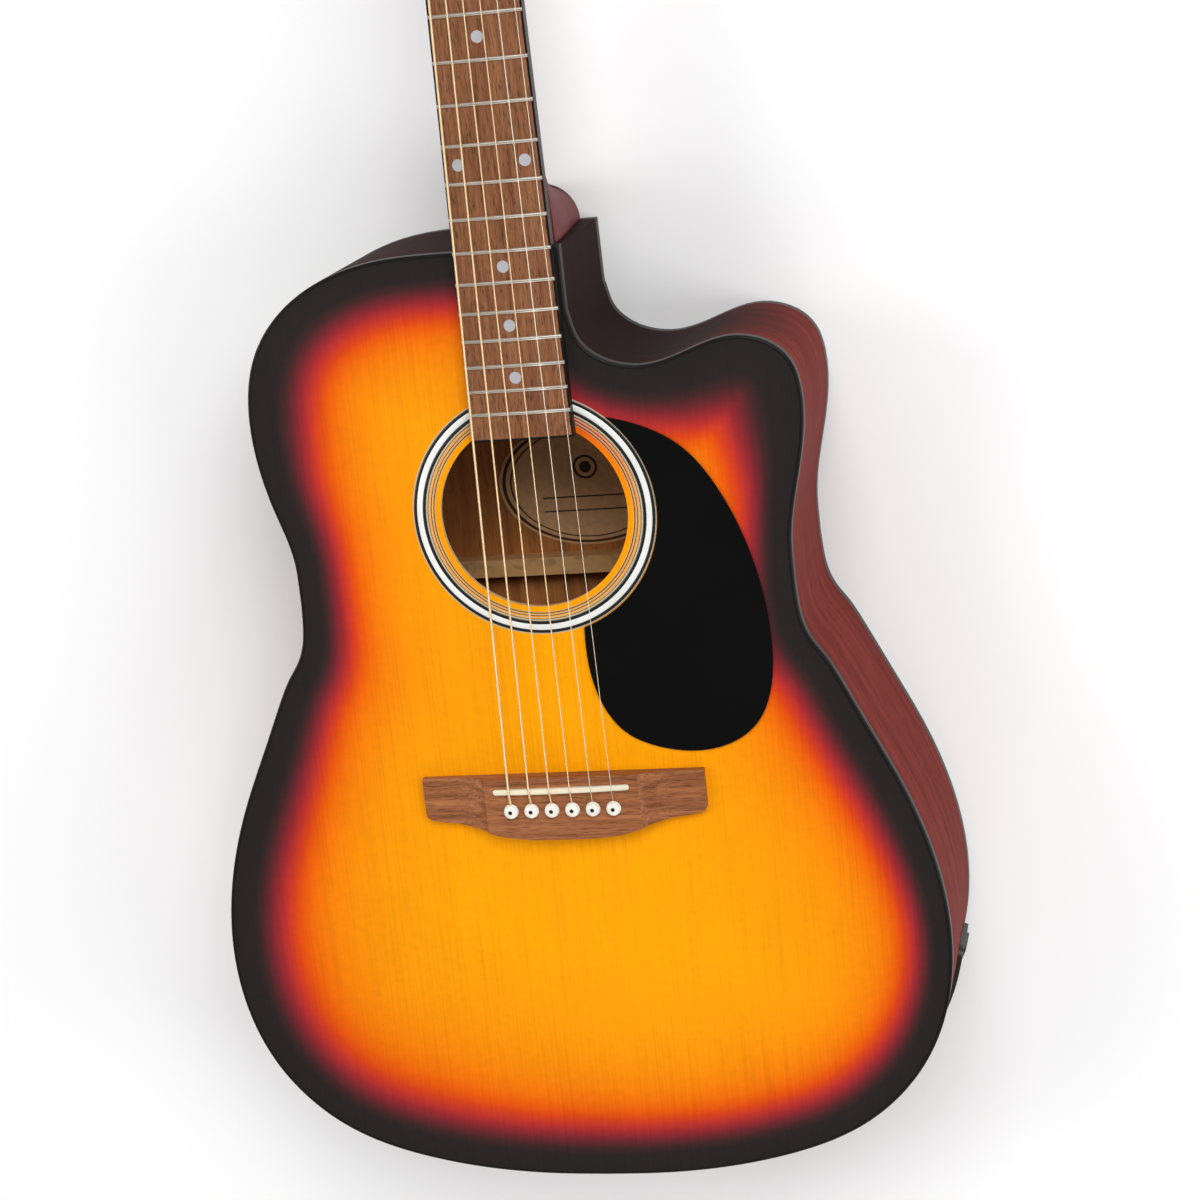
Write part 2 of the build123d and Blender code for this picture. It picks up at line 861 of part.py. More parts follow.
with BuildPart() as nut:
    with BuildSketch(across(nut_thick)):
        with BuildLine():
            edge = crowned(nut_top, board_radius, nut_width / 2) - nut_edge_drop
            ThreePointArc((-nut_width / 2, edge), (0, nut_top), (nut_width / 2, edge))
            Polyline((nut_width / 2, edge), (nut_width / 2, 0), (-nut_width / 2, 0), (-nut_width / 2, edge))
        make_face()
    extrude(amount=nut_thick)
    for x, radius in zip(nut_x, string_radii):
        rest = nut_rest(x)
        with BuildSketch(Plane.YZ.offset(x - radius - nut_slot_gap)):
            Polygon(
                (-1, rest),
                (nut_thick / 2, rest),
                (nut_thick + 2, rest - nut_slot_slope),
                (nut_thick + 2, above_nut),
                (-1, above_nut),
            )
        extrude(amount=2 * (radius + nut_slot_gap), mode=Mode.SUBTRACT)
save(nut, "nut")

# ---------------------------------------------------------------- neck
cap_thick = 2.5


def half_oval(plane, half, depth, sign):
    """Half an oval on one side of a straight line, for the sections of the neck and the heel."""
    start = 180 if sign < 0 else 0
    with BuildSketch(plane) as section:
        with BuildLine():
            EllipticalCenterArc((0, 0), half, depth, start_angle=start, arc_size=180)
            Line((-half, 0), (half, 0))
        make_face()
    return section.sketch


face = Plane(
    origin=(0, nut_thick + veneer_thick * sin(radians(headstock_tilt)), veneer_thick),
    x_dir=(1, 0, 0),
    z_dir=(0, sin(radians(headstock_tilt)), cos(radians(headstock_tilt))),
)


def headstock_outline(plane):
    """The headstock's plan: it flares behind the nut, narrows slightly and ends in a shallow arc."""
    top_half = 33.0
    with BuildSketch(plane) as plan:
        with BuildLine():
            Line((0, 0), (nut_width / 2, 0))
            Spline((nut_width / 2, 0), (29, 15), (35.5, 34), tangents=[(0.1, 1), (0.05, 1)])
            Line((35.5, 34), (top_half, headstock_long - 10))
            ThreePointArc(
                (top_half, headstock_long - 10), (top_half / 2, headstock_long - 2.6), (0, headstock_long)
            )
            mirror(about=Plane.YZ)
        make_face()
    return plan.sketch


# places along the headstock, and the sides, of the six posts in string order
post_along = [45.0, 90.0, 135.0, 135.0, 90.0, 45.0]
post_half = 22.0
post_sides = [-1, -1, -1, 1, 1, 1]
bushing_radius = 4.0


def cut_bushing_holes():
    """The six holes through the headstock for the posts' bushings."""
    with BuildSketch(face.offset(5)) as holes:
        with Locations([(side * post_half, along) for side, along in zip(post_sides, post_along)]):
            Circle(bushing_radius)
    extrude(holes.sketch, amount=-40, mode=Mode.SUBTRACT)


# where each section of the neck lies and its depth
neck_sections = [(nut_thick, 14.0), (-180.0, 15.0), (-285.0, 16.0), (neck_joint_y, 17.0)]
# height of each section of the heel, its half width and how far it reaches up the neck
heel_sections = [
    (-8, 25.3, 92),
    (-18, 25.2, 64),
    (-32, 24.6, 43),
    (-52, 23, 31),
    (-76, 21, 24),
    (-101, 19, 20),
]


def heel_plane(z):
    """The level plane of one section of the heel, centred on the joint."""
    return Plane((0, neck_joint_y, z))


with BuildPart() as neck:
    loft([half_oval(across(y), half_width(y), depth, -1) for y, depth in neck_sections])
    loft([half_oval(heel_plane(z), half, reach, 1) for z, half, reach in heel_sections])
    split(bisect_by=back_plane.offset(cap_thick), keep=Keep.TOP)
    with BuildSketch(Plane.XY.offset(tenon_top)):
        with Locations((0, neck_joint_y - tenon_long / 2)):
            Rectangle(2 * tenon_half, tenon_long)
    extrude(amount=tenon_bottom - tenon_top)
    extrude(headstock_outline(face.offset(-veneer_thick)), amount=veneer_thick - headstock_thick)
    with BuildSketch(across(rod_start_y + 1)):
        with Locations((0, rod_z)):
            Circle(rod_radius + rod_gap)
        with Locations((0, rod_z / 2 + 1)):
            Rectangle(2 * (rod_radius + rod_gap), 2 - rod_z)
    extrude(amount=-neck_joint_y + block_long, mode=Mode.SUBTRACT)
    cut_bushing_holes()
save(neck, "neck")

with BuildPart() as heel_cap:
    cap_z, cap_half, cap_reach = heel_sections[-1]
    extrude(half_oval(heel_plane(cap_z), cap_half, cap_reach, 1), amount=2 * cap_thick, both=True)
    split(bisect_by=back_plane, keep=Keep.TOP)
    split(bisect_by=back_plane.offset(cap_thick), keep=Keep.BOTTOM)
save(heel_cap, "heel_cap")

with BuildPart() as headstock_veneer:
    extrude(headstock_outline(face), amount=-veneer_thick)
    cut_bushing_holes()
save(headstock_veneer, "headstock_veneer")

with BuildPart() as truss_rod:
    with BuildSketch(across(rod_start_y)):
        with Locations((0, rod_z)):
            Circle(rod_radius)
    extrude(amount=rod_start_y - rod_end_y)
save(truss_rod, "truss_rod")

nut_start_y = -366.0
nut_end_y = -386.0
nut_radius = 3.3
wrench_half = 2.5
wrench_deep = 6.0
with BuildPart() as truss_rod_nut:
    with BuildSketch(across(nut_start_y)):
        with Locations((0, rod_z)):
            Circle(nut_radius)
    extrude(amount=nut_start_y - nut_end_y)
    with BuildSketch(across(nut_start_y)):
        with Locations((0, rod_z)):
            Circle(rod_radius + running_gap)
    extrude(amount=nut_start_y - rod_end_y + 1, mode=Mode.SUBTRACT)
    with BuildSketch(across(nut_end_y + wrench_deep)):
        with Locations((0, rod_z)):
            RegularPolygon(wrench_half, 6, major_radius=False)
    extrude(amount=2 * wrench_deep, mode=Mode.SUBTRACT)
save(truss_rod_nut, "truss_rod_nut")

# ---------------------------------------------------------------- strings
post_radius = 3.0
wrap_height = 5.0
wrap_turns = 3
ball_radius = 1.9
ball_z = -top_thick - bridge_plate_thick - 0.6 - ball_radius


def string(number):
    """One string, from its ball under the bridge plate to just short of its post."""
    radius = string_radii[number]
    x = pin_x[number]
    side = post_sides[number]
    rest_y = saddle_y + x * tan(radians(saddle_turn))
    beside_post = post_half - post_radius - radius
    meets = face.from_local_coords((side * beside_post, post_along[number], wrap_height))
    start = Vector(nut_x[number], nut_thick / 2, nut_rest(nut_x[number]) + radius + 0.02)
    away = (meets - start).normalized()
    end = meets - away * 3.2
    points = [
        (x, string_in_slot_y, ball_z),
        (x, string_in_slot_y, bridge_high + 0.9),
        (x, rest_y, crowned(saddle_top, saddle_radius, x) + radius + 0.05),
        (start.X, start.Y, start.Z),
        (end.X, end.Y, end.Z),
    ]
    with BuildPart() as one:
        with BuildLine() as path:
            FilletPolyline(*points, radius=[1.2, 4.0, 4.0])
        with BuildSketch(Plane(origin=points[0], z_dir=(0, 0, 1))):
            Circle(radius)
        sweep(path=path.line)
        with BuildSketch(Plane(origin=(x - 1.7, string_in_slot_y, ball_z), z_dir=(1, 0, 0))):
            Circle(ball_radius)
        extrude(amount=3.4)
    return one.part


with BuildPart() as wound_strings:
    for number in range(wound_count):
        add(string(number))
save(wound_strings, "wound_strings")

with BuildPart() as plain_strings:
    for number in range(wound_count, string_count):
        add(string(number))
save(plain_strings, "plain_strings")

# ---------------------------------------------------------------- tuning machines
housing_deep = 11.0
housing_wide = 18.0
housing_long = 25.0
housing_corner = 3.0
collar_radius = 3.6
collar_start = 9.0
collar_long = 7.0
lug_wide = 6.0
lug_long = 9.0
lug_thick = 2.0
lug_reach = 8.5
screw_reach = 10.5
screw_radius = 1.1
screw_head_radius = 2.1
screw_head_high = 1.2
gear_radius = 6.0
gear_thick = 4.6
gear_teeth = 14
gear_root_radius = 4.9
tooth_long = 1.6
tooth_wide = 1.3
gear_gap = 0.4
gear_level = -headstock_thick - 5.6
gear_low = gear_level - gear_thick / 2
worm_offset = 8.8
worm_radius = 2.2
worm_long = 13.0
worm_gap = 0.35
shaft_radius = 1.8
shaft_start = -9.0
shaft_end = 20.0
button_collar_radius = 3.4
button_collar_long = 2.5
# how far out each oval of a button lies, its half length and its half thickness
button_sections = [(20.0, 6.2, 3.4), (28.0, 9.2, 3.9), (36.0, 7.4, 3.0)]
post_above = 15.0
post_chamfer = 0.6
post_foot = 1.2
string_hole_radius = 0.9
string_hole_above = 3.2
flange_radius = 6.6
flange_thick = 0.9
bushing_nut_half = 5.0
bushing_nut_thick = 1.7


def at_post(number, level=0.0):
    """The headstock plane moved to a post's centre, at a level above the headstock's face.
    Its local X points outwards, to that post's button."""
    side = post_sides[number]
    origin = face.from_local_coords((side * post_half, post_along[number], level))
    return Plane(origin=origin, x_dir=(side, 0, 0), z_dir=face.z_dir)


def at_button(number, reach):
    """The plane square to a button's shaft, at a distance outwards from the post's centre."""
    side = post_sides[number]
    along = post_along[number] + worm_offset
    origin = face.from_local_coords((side * (post_half + reach), along, gear_level))
    return Plane(origin=origin, x_dir=face.y_dir, z_dir=(side, 0, 0))


def tuner_post(number):
    """A string post with its gear below and three turns of string wound on it above."""
    wrap = string_radii[number]
    post_low = gear_low - post_foot
    axis_plane = at_post(number)
    with BuildPart() as post:
        with BuildSketch(Plane(origin=axis_plane.origin, x_dir=axis_plane.x_dir, z_dir=-axis_plane.y_dir)):
            Polygon(
                (0, post_low),
                (post_radius, post_low),
                (post_radius, post_above - post_chamfer),
                (post_radius - post_chamfer, post_above),
                (0, post_above),
                align=None,
            )
            with Locations((post_radius + 0.6 * wrap, wrap_height)):
                with GridLocations(0, 2.4 * wrap, 1, wrap_turns):
                    Circle(wrap)
        revolve(axis=Axis(axis_plane.origin, axis_plane.z_dir))
        with BuildSketch(at_post(number, gear_low)):
            Circle(gear_root_radius)
            with PolarLocations(gear_radius - tooth_long / 2, gear_teeth):
                Rectangle(tooth_long, tooth_wide)
        extrude(amount=gear_thick)
        hole_plane = at_post(number, wrap_height + string_hole_above)
        with BuildSketch(Plane(origin=hole_plane.origin, x_dir=(1, 0, 0), z_dir=face.y_dir)):
            Circle(string_hole_radius)
        extrude(amount=2 * post_radius, both=True, mode=Mode.SUBTRACT)
    return post


def tuner_button(number):
    """A button on its shaft, which ends in the worm beside the post's gear."""
    with BuildPart() as button:
        with BuildSketch(at_button(number, -worm_long / 2)):
            Circle(worm_radius)
        extrude(amount=worm_long)
        with BuildSketch(at_button(number, shaft_start)):
            Circle(shaft_radius)
        extrude(amount=shaft_end - shaft_start)
        with BuildSketch(at_button(number, shaft_end - button_collar_long)):
            Circle(button_collar_radius)
        extrude(amount=button_collar_long)
        for reach, half_long, half_thick in button_sections:
            with BuildSketch(at_button(number, reach)):
                Ellipse(half_long, half_thick)
        loft()
    return button


for number in range(string_count):
    save(tuner_post(number), f"tuner_post_{number + 1}")
    save(tuner_button(number), f"tuner_button_{number + 1}")

with BuildPart() as tuner_housings:
    for number in range(string_count):
        base = at_post(number, -headstock_thick)
        mirror_y = -1 if post_sides[number] < 0 else 1
        worm_side = mirror_y * worm_offset
        with BuildPart(mode=Mode.PRIVATE) as housing:
            with BuildSketch(base):
                with Locations((1, worm_side / 2)):
                    RectangleRounded(housing_wide, housing_long, housing_corner)
            extrude(amount=-housing_deep)
            fillet(housing.faces().sort_by(Axis((0, 0, 0), face.z_dir))[0].outer_wire().edges(), 2)
            with BuildSketch(at_button(number, collar_start)):
                Circle(collar_radius)
            extrude(amount=collar_long)
            with BuildSketch(base):
                with Locations((0, -mirror_y * lug_reach)):
                    SlotOverall(lug_long, lug_wide, rotation=90)
            extrude(amount=-lug_thick)
            with BuildSketch(base):
                with Locations((0, -mirror_y * screw_reach)):
                    Circle(screw_radius)
            extrude(amount=-lug_thick - 1, mode=Mode.SUBTRACT)
            with BuildSketch(at_post(number, gear_low - gear_gap)):
                Circle(gear_radius + gear_gap)
            extrude(amount=gear_thick + 2 * gear_gap, mode=Mode.SUBTRACT)
            with BuildSketch(at_post(number, -headstock_thick)):
                Circle(post_radius + running_gap)
            extrude(amount=gear_low - post_foot - gear_gap + headstock_thick, mode=Mode.SUBTRACT)
            with BuildSketch(at_button(number, -worm_long / 2 - worm_gap)):
                Circle(worm_radius + worm_gap)
            extrude(amount=worm_long + 2 * worm_gap, mode=Mode.SUBTRACT)
            with BuildSketch(at_button(number, shaft_start - worm_gap)):
                Circle(shaft_radius + running_gap)
            extrude(amount=2 * shaft_end, mode=Mode.SUBTRACT)
        add(housing.part)
save(tuner_housings, "tuner_housings")

with BuildPart() as tuner_bushings:
    for number in range(string_count):
        with BuildSketch(at_post(number, -headstock_thick)):
            Circle(bushing_radius)
        extrude(amount=headstock_thick)
        with BuildSketch(at_post(number)):
            Circle(flange_radius)
        extrude(amount=flange_thick)
        with BuildSketch(at_post(number, flange_thick)):
            RegularPolygon(bushing_nut_half, 6, major_radius=False)
        extrude(amount=bushing_nut_thick)
        with BuildSketch(at_post(number, -headstock_thick)):
            Circle(post_radius + running_gap)
        extrude(amount=2 * headstock_thick, mode=Mode.SUBTRACT)
save(tuner_bushings, "tuner_bushings")

with BuildPart() as tuner_screws:
    for number in range(string_count):
        base = at_post(number, -headstock_thick)
        mirror_y = -1 if post_sides[number] < 0 else 1
        with BuildSketch(base):
            with Locations((0, -mirror_y * screw_reach)):
                Circle(screw_radius)
        extrude(amount=-lug_thick)
        with BuildSketch(base.offset(-lug_thick)):
            with Locations((0, -mirror_y * screw_reach)):
                Circle(screw_head_radius)
        extrude(amount=-screw_head_high)
save(tuner_screws, "tuner_screws")

# ---------------------------------------------------------------- strap button
with BuildPart() as strap_button:
    with BuildSketch(Plane(origin=(0, tail_y, strap_button_z), x_dir=(1, 0, 0), z_dir=(0, 0, 1))):
        with BuildLine():
            Polyline((0, 0), (6.6, 0), (6.6, -1.6), (4.6, -3.2), (4.2, -6.5), (6.8, -9.6))
            ThreePointArc((6.8, -9.6), (6.5, -11.2), (5.2, -11.8))
            hole = strap_screw_radius + running_gap
            Polyline((5.2, -11.8), (3.4, -11.8), (hole, -9.4), (hole, 0))
        make_face()
    revolve(axis=Axis((0, tail_y, strap_button_z), (0, 1, 0)))
    with BuildSketch(Plane(origin=(0, tail_y, strap_button_z), x_dir=(1, 0, 0), z_dir=(0, 0, 1))):
        screw = strap_screw_radius
        Polygon((0, 19), (screw, 17), (screw, -9.4), (3.3, -11.6), (0, -11.6))
    revolve(axis=Axis((0, tail_y, strap_button_z), (0, 1, 0)), clean=False)
save(strap_button, "strap_button")

# ---------------------------------------------------------------- preamp in the bass side
def rim_shell(plane, width, height, corner, thickness):
    """A plate of even thickness that follows the curve of the side."""
    ring(inset(-thickness), outline, plane.origin.Z + height, plane.origin.Z - height)
    with BuildSketch(plane) as edge:
        RectangleRounded(width, height, corner)
    extrude(edge.sketch, amount=12, both=True, mode=Mode.INTERSECT)


preamp_corner = 5.0
preamp_gap = 0.2
preamp_wall = 1.8
preamp_front = 3.0
knob_radius = 6.0
knob_taper = 4.0
knob_shaft_radius = 3.0
knob_shaft_deep = 8.0
knob_base = 1.0 + plate_proud
knob_high = 8.0
knob_along = [-24.0, -7.0, 10.0]
groove_wide = 1.0
groove_deep = 0.6
key_along = 26.0
key_half = 4.0
key_gap = 0.35
key_deep = 4.0
key_proud = 0.6

with BuildPart() as preamp_panel:
    rim_shell(preamp_plane, *preamp_size, preamp_corner, plate_proud)
    with BuildSketch(preamp_plane.offset(-preamp_deep)):
        Rectangle(*[side - 2 * preamp_gap for side in preamp_box])
    extrude(amount=preamp_deep + 1)
    with BuildSketch(preamp_plane.offset(-preamp_deep)):
        Rectangle(*[side - 2 * (preamp_gap + preamp_wall) for side in preamp_box])
    extrude(amount=preamp_deep - preamp_front, mode=Mode.SUBTRACT)
    with BuildSketch(preamp_plane):
        with Locations([(along, 0) for along in knob_along]):
            Circle(knob_shaft_radius + running_gap)
        with Locations((key_along, 0)):
            Rectangle(2 * (key_half + key_gap), 2 * (key_half + key_gap))
    extrude(amount=2 * preamp_front, both=True, mode=Mode.SUBTRACT)
save(preamp_panel, "preamp_panel")


def turning_knob(along):
    """A control knob on its shaft, with a pointer groove."""
    with BuildPart() as knob:
        with BuildSketch(preamp_plane.offset(-knob_shaft_deep)):
            with Locations((along, 0)):
                Circle(knob_shaft_radius)
        extrude(amount=knob_shaft_deep + knob_base + 1)
        with BuildSketch(preamp_plane.offset(knob_base)):
            with Locations((along, 0)):
                Circle(knob_radius)
        extrude(amount=knob_high, taper=knob_taper)
        with BuildSketch(preamp_plane.offset(knob_base + knob_high - groove_deep)):
            with Locations((along, knob_radius / 2)):
                Rectangle(groove_wide, knob_radius)
        extrude(amount=2 * groove_deep, mode=Mode.SUBTRACT)
    return knob


save(turning_knob(knob_along[0]), "volume_knob")
save(turning_knob(knob_along[1]), "bass_knob")
save(turning_knob(knob_along[2]), "treble_knob")

with BuildPart() as tuner_key:
    with BuildSketch(preamp_plane.offset(-key_deep)):
        with Locations((key_along, 0)):
            RectangleRounded(2 * key_half, 2 * key_half, 1)
    extrude(amount=key_deep + plate_proud + key_proud)
save(tuner_key, "tuner_key")

# ---------------------------------------------------------------- jack and battery box in the treble side
jack_corner = 6.0
box_end = drawer_deep + 1.0
box_into_plate = 0.5
thread_radius = 5.9
thread_start = -5.0
thread_end = 3.2
can_radius = 8.0
can_end = -3.5
washer_seat = 0.2
washer_radius = 8.2
washer_gap = 0.4
washer_thick = 0.8
socket_nut_half = 6.6
socket_nut_thick = 1.6

with BuildPart() as jack_plate:
    rim_shell(jack_plane, *jack_size, jack_corner, plate_proud)
    with BuildSketch(jack_plane.offset(-box_end - box_wall)):
        with Locations((drawer_along, 0)):
            Rectangle(*box_outer)
    extrude(amount=box_end + box_wall + box_into_plate)
    with BuildSketch(jack_plane.offset(-box_end)):
        with Locations((drawer_along, 0)):
            Rectangle(*box_inner)
    extrude(amount=2 * box_end, mode=Mode.SUBTRACT)
    with BuildSketch(jack_plane):
        with Locations((socket_along, 0)):
            Circle(thread_radius + 0.1)
    extrude(amount=through_side, both=True, mode=Mode.SUBTRACT)
    with BuildSketch(jack_plane.offset(washer_seat)):
        with Locations((socket_along, 0)):
            Circle(washer_radius + washer_gap)
    extrude(amount=through_side, mode=Mode.SUBTRACT)
save(jack_plate, "jack_plate")

with BuildPart() as output_jack:
    with BuildSketch(jack_plane.offset(-socket_body_long)):
        with Locations((socket_along, 0)):
            Circle(can_radius)
    extrude(amount=socket_body_long + can_end)
    with BuildSketch(jack_plane.offset(thread_start)):
        with Locations((socket_along, 0)):
            Circle(thread_radius)
    extrude(amount=thread_end - thread_start)
    with BuildSketch(jack_plane.offset(washer_seat)):
        with Locations((socket_along, 0)):
            Circle(washer_radius)
    extrude(amount=washer_thick)
    with BuildSketch(jack_plane.offset(washer_seat + washer_thick)):
        with Locations((socket_along, 0)):
            RegularPolygon(socket_nut_half, 6, major_radius=False)
    extrude(amount=socket_nut_thick)
    with BuildSketch(jack_plane.offset(thread_end)):
        with Locations((socket_along, 0)):
            Circle(socket_hole_radius)
    extrude(amount=-socket_body_long, mode=Mode.SUBTRACT)
save(output_jack, "output_jack")

battery_size = (26.4, 17.4, 47.0)
battery_gap = 0.1
terminal_half = 6.35
terminal_radius = 3.2
terminal_high = 3.0
# the drawer's trough is open on the side towards the soundboard
drawer_open = 4.0
with BuildPart() as battery_drawer:
    with BuildSketch(Plane.XY.offset(jack_z + jack_size[1])):
        add(inset(-plate_proud))
    extrude(amount=-2 * jack_size[1])
    with BuildSketch(jack_plane.offset(-drawer_deep)):
        with Locations((drawer_along, 0)):
            Rectangle(*drawer_size)
    extrude(amount=2 * drawer_deep, mode=Mode.INTERSECT)
    with BuildSketch(jack_plane.offset(-drawer_deep + drawer_floor)):
        with Locations((drawer_along, drawer_open / 2)):
            Rectangle(battery_size[0] + 2 * battery_gap, battery_size[1] + 2 * battery_gap + drawer_open)
    extrude(amount=drawer_deep - drawer_floor - drawer_front, mode=Mode.SUBTRACT)
save(battery_drawer, "battery_drawer")

with BuildPart() as battery:
    case_front = -drawer_front - battery_gap
    with BuildSketch(jack_plane.offset(case_front)):
        with Locations((drawer_along, 0)):
            RectangleRounded(battery_size[0], battery_size[1], 2)
    extrude(amount=-battery_size[2])
    with BuildSketch(jack_plane.offset(case_front - battery_size[2])):
        with Locations((drawer_along - terminal_half, 0), (drawer_along + terminal_half, 0)):
            Circle(terminal_radius)
    extrude(amount=-terminal_high)
save(battery, "battery")
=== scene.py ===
import json
from math import cos, pi, radians, sin, sqrt, tau

import bmesh
import bpy
import numpy as np
from mathutils import Matrix, Vector
from mathutils.geometry import delaunay_2d_cdt


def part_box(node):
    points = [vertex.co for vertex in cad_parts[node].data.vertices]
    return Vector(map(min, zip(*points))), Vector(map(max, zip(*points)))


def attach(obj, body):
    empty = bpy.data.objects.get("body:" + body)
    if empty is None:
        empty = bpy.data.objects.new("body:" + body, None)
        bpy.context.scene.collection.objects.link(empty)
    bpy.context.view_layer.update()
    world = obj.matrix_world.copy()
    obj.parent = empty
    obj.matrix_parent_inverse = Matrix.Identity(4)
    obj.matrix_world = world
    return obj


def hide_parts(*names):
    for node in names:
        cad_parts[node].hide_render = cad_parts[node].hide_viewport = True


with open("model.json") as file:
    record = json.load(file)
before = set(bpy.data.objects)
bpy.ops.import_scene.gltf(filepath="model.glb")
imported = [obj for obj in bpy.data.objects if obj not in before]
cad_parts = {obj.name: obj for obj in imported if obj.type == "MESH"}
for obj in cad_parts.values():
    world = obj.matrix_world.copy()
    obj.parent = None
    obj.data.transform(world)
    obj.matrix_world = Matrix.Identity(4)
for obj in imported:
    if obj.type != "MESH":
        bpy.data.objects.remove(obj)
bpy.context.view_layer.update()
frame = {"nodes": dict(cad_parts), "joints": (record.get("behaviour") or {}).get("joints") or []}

# ---------------------------------------------------------------- the drawing frame
# Pieces are drawn in millimetres as the CAD drew them: X across the strings, Y up the neck from the
# nut, Z out of the soundboard. The truss rod nut's joint says where that frame lies.
MM = 0.001
joint = {each["name"]: each for each in frame["joints"]}
rod_nut_place = Vector((0, -366, -6.7))
neck_way = -Vector(joint["truss_nut_turn"]["axis"]).normalized()
across_way = Vector((1, 0, 0))
turned = Matrix((across_way, neck_way, across_way.cross(neck_way))).transposed()
origin = Vector(joint["truss_nut_turn"]["pos_m"]) - turned @ (rod_nut_place * MM)
LAID = Matrix.Translation(origin) @ turned.to_4x4() @ Matrix.Scale(MM, 4)
DRAWN = LAID.inverted()

hole_y = -495.7
hole_radius = 50.0
saddle_y = -644.5
saddle_slant = 0.0087
pin_y = -655.4
bridge_high = 9.5
binding_high = 6.0
top_thick = 3.0
string_radii = [0.67, 0.53, 0.41, 0.33, 0.22, 0.16]
wound_count = 4
span_nut = 36.0
span_bridge = 56.0


# ---------------------------------------------------------------- colours and shader helpers
def srgb(red, green, blue):
    """A colour on the usual 0 to 255 scale as the linear one that shaders take."""
    linear = []
    for level in (red, green, blue):
        share = level / 255
        linear.append(share / 12.92 if share <= 0.04045 else ((share + 0.055) / 1.055) ** 2.4)
    return (*linear, 1.0)


class Shader:
    """A material being put together from nodes."""

    def __init__(self, name, roughness=0.5, **sockets):
        self.material = bpy.data.materials.new(name)
        self.material.use_nodes = True
        self.tree = self.material.node_tree
        self.main = self.tree.nodes["Principled BSDF"]
        self.main.inputs["Roughness"].default_value = roughness
        for socket, value in sockets.items():
            self.main.inputs[socket.replace("_", " ")].default_value = value

    def node(self, kind, **settings):
        made = self.tree.nodes.new(kind)
        for key, value in settings.items():
            setattr(made, key, value)
        return made

    def link(self, source, target):
        self.tree.links.new(source, target)

    def place(self, scale=(1, 1, 1), shift=(0, 0, 0)):
        """Object coordinates, moved by minus the shift and then scaled."""
        coords = self.node("ShaderNodeTexCoord")
        moved = self.node("ShaderNodeVectorMath", operation="SUBTRACT")
        moved.inputs[1].default_value = shift
        self.link(coords.outputs["Object"], moved.inputs[0])
        sized = self.node("ShaderNodeVectorMath", operation="MULTIPLY")
        sized.inputs[1].default_value = scale
        self.link(moved.outputs[0], sized.inputs[0])
        return sized.outputs[0]

    def noise(self, scale, detail=3.0, roughness=0.55, distortion=0.0):
        """Noise with this many features to the metre along X, Y and Z."""
        texture = self.node("ShaderNodeTexNoise")
        texture.inputs["Scale"].default_value = 1.0
        texture.inputs["Detail"].default_value = detail
        texture.inputs["Roughness"].default_value = roughness
        texture.inputs["Distortion"].default_value = distortion
        self.link(self.place(scale), texture.inputs["Vector"])
        return texture.outputs["Fac"]

    def ramp(self, value, stops, smooth=False):
        """Colours along a value: pairs of a position and a colour."""
        made = self.node("ShaderNodeValToRGB")
        made.color_ramp.interpolation = "EASE" if smooth else "LINEAR"
        band = made.color_ramp.elements
        band[0].position, band[0].color = stops[0]
        band[1].position, band[1].color = stops[-1]
        for position, colour in stops[1:-1]:
            band.new(position).color = colour
        self.link(value, made.inputs["Fac"])
        return made.outputs["Color"]

    def blend(self, share, first, second, mode="MIX"):
        """Two colours mixed by a share, either of them a socket or a fixed colour."""
        made = self.node("ShaderNodeMix", data_type="RGBA", blend_type=mode)
        for socket, value in ((made.inputs[0], share), (made.inputs[6], first), (made.inputs[7], second)):
            if isinstance(value, (int, float, tuple)):
                socket.default_value = value
            else:
                self.link(value, socket)
        return made.outputs[2]

    def sums(self, operation, first, second, clamp=False):
        made = self.node("ShaderNodeMath", operation=operation, use_clamp=clamp)
        for socket, value in zip(made.inputs, (first, second)):
            if isinstance(value, (int, float)):
                socket.default_value = value
            else:
                self.link(value, socket)
        return made.outputs[0]

    def nearness(self, centre, inner, outer):
        """One within the inner radius of a drawing place, fading to zero at the outer, in millimetres."""
        gap = self.node("ShaderNodeVectorMath", operation="DISTANCE")
        gap.inputs[1].default_value = LAID @ Vector(centre)
        self.link(self.place(), gap.inputs[0])
        fade = self.node("ShaderNodeMapRange", interpolation_type="SMOOTHSTEP")
        fade.inputs["From Min"].default_value = inner * MM
        fade.inputs["From Max"].default_value = outer * MM
        fade.inputs["To Min"].default_value = 1.0
        fade.inputs["To Max"].default_value = 0.0
        self.link(gap.outputs["Value"], fade.inputs["Value"])
        return fade.outputs["Result"]

    def colour(self, value):
        if isinstance(value, tuple):
            self.main.inputs["Base Color"].default_value = value
        else:
            self.link(value, self.main.inputs["Base Color"])
        return self

    def rough(self, value, low, high):
        """Roughness that follows a value between two limits."""
        limits = self.node("ShaderNodeMapRange")
        limits.inputs["To Min"].default_value = low
        limits.inputs["To Max"].default_value = high
        self.link(value, limits.inputs["Value"])
        self.link(limits.outputs["Result"], self.main.inputs["Roughness"])
        return self

    def bump(self, height, distance, strength=1.0):
        """Relief of about this many millimetres."""
        made = self.node("ShaderNodeBump")
        made.inputs["Strength"].default_value = strength
        made.inputs["Distance"].default_value = distance * MM
        self.link(height, made.inputs["Height"])
        self.link(made.outputs["Normal"], self.main.inputs["Normal"])
        return self


def grey(level):
    return srgb(level, level, level)


# dark colour for the sides' black overspray beside the heel and for the painted shade on the bass shoulder's
# side
overspray_and_shade_colour = srgb(30, 20, 18)


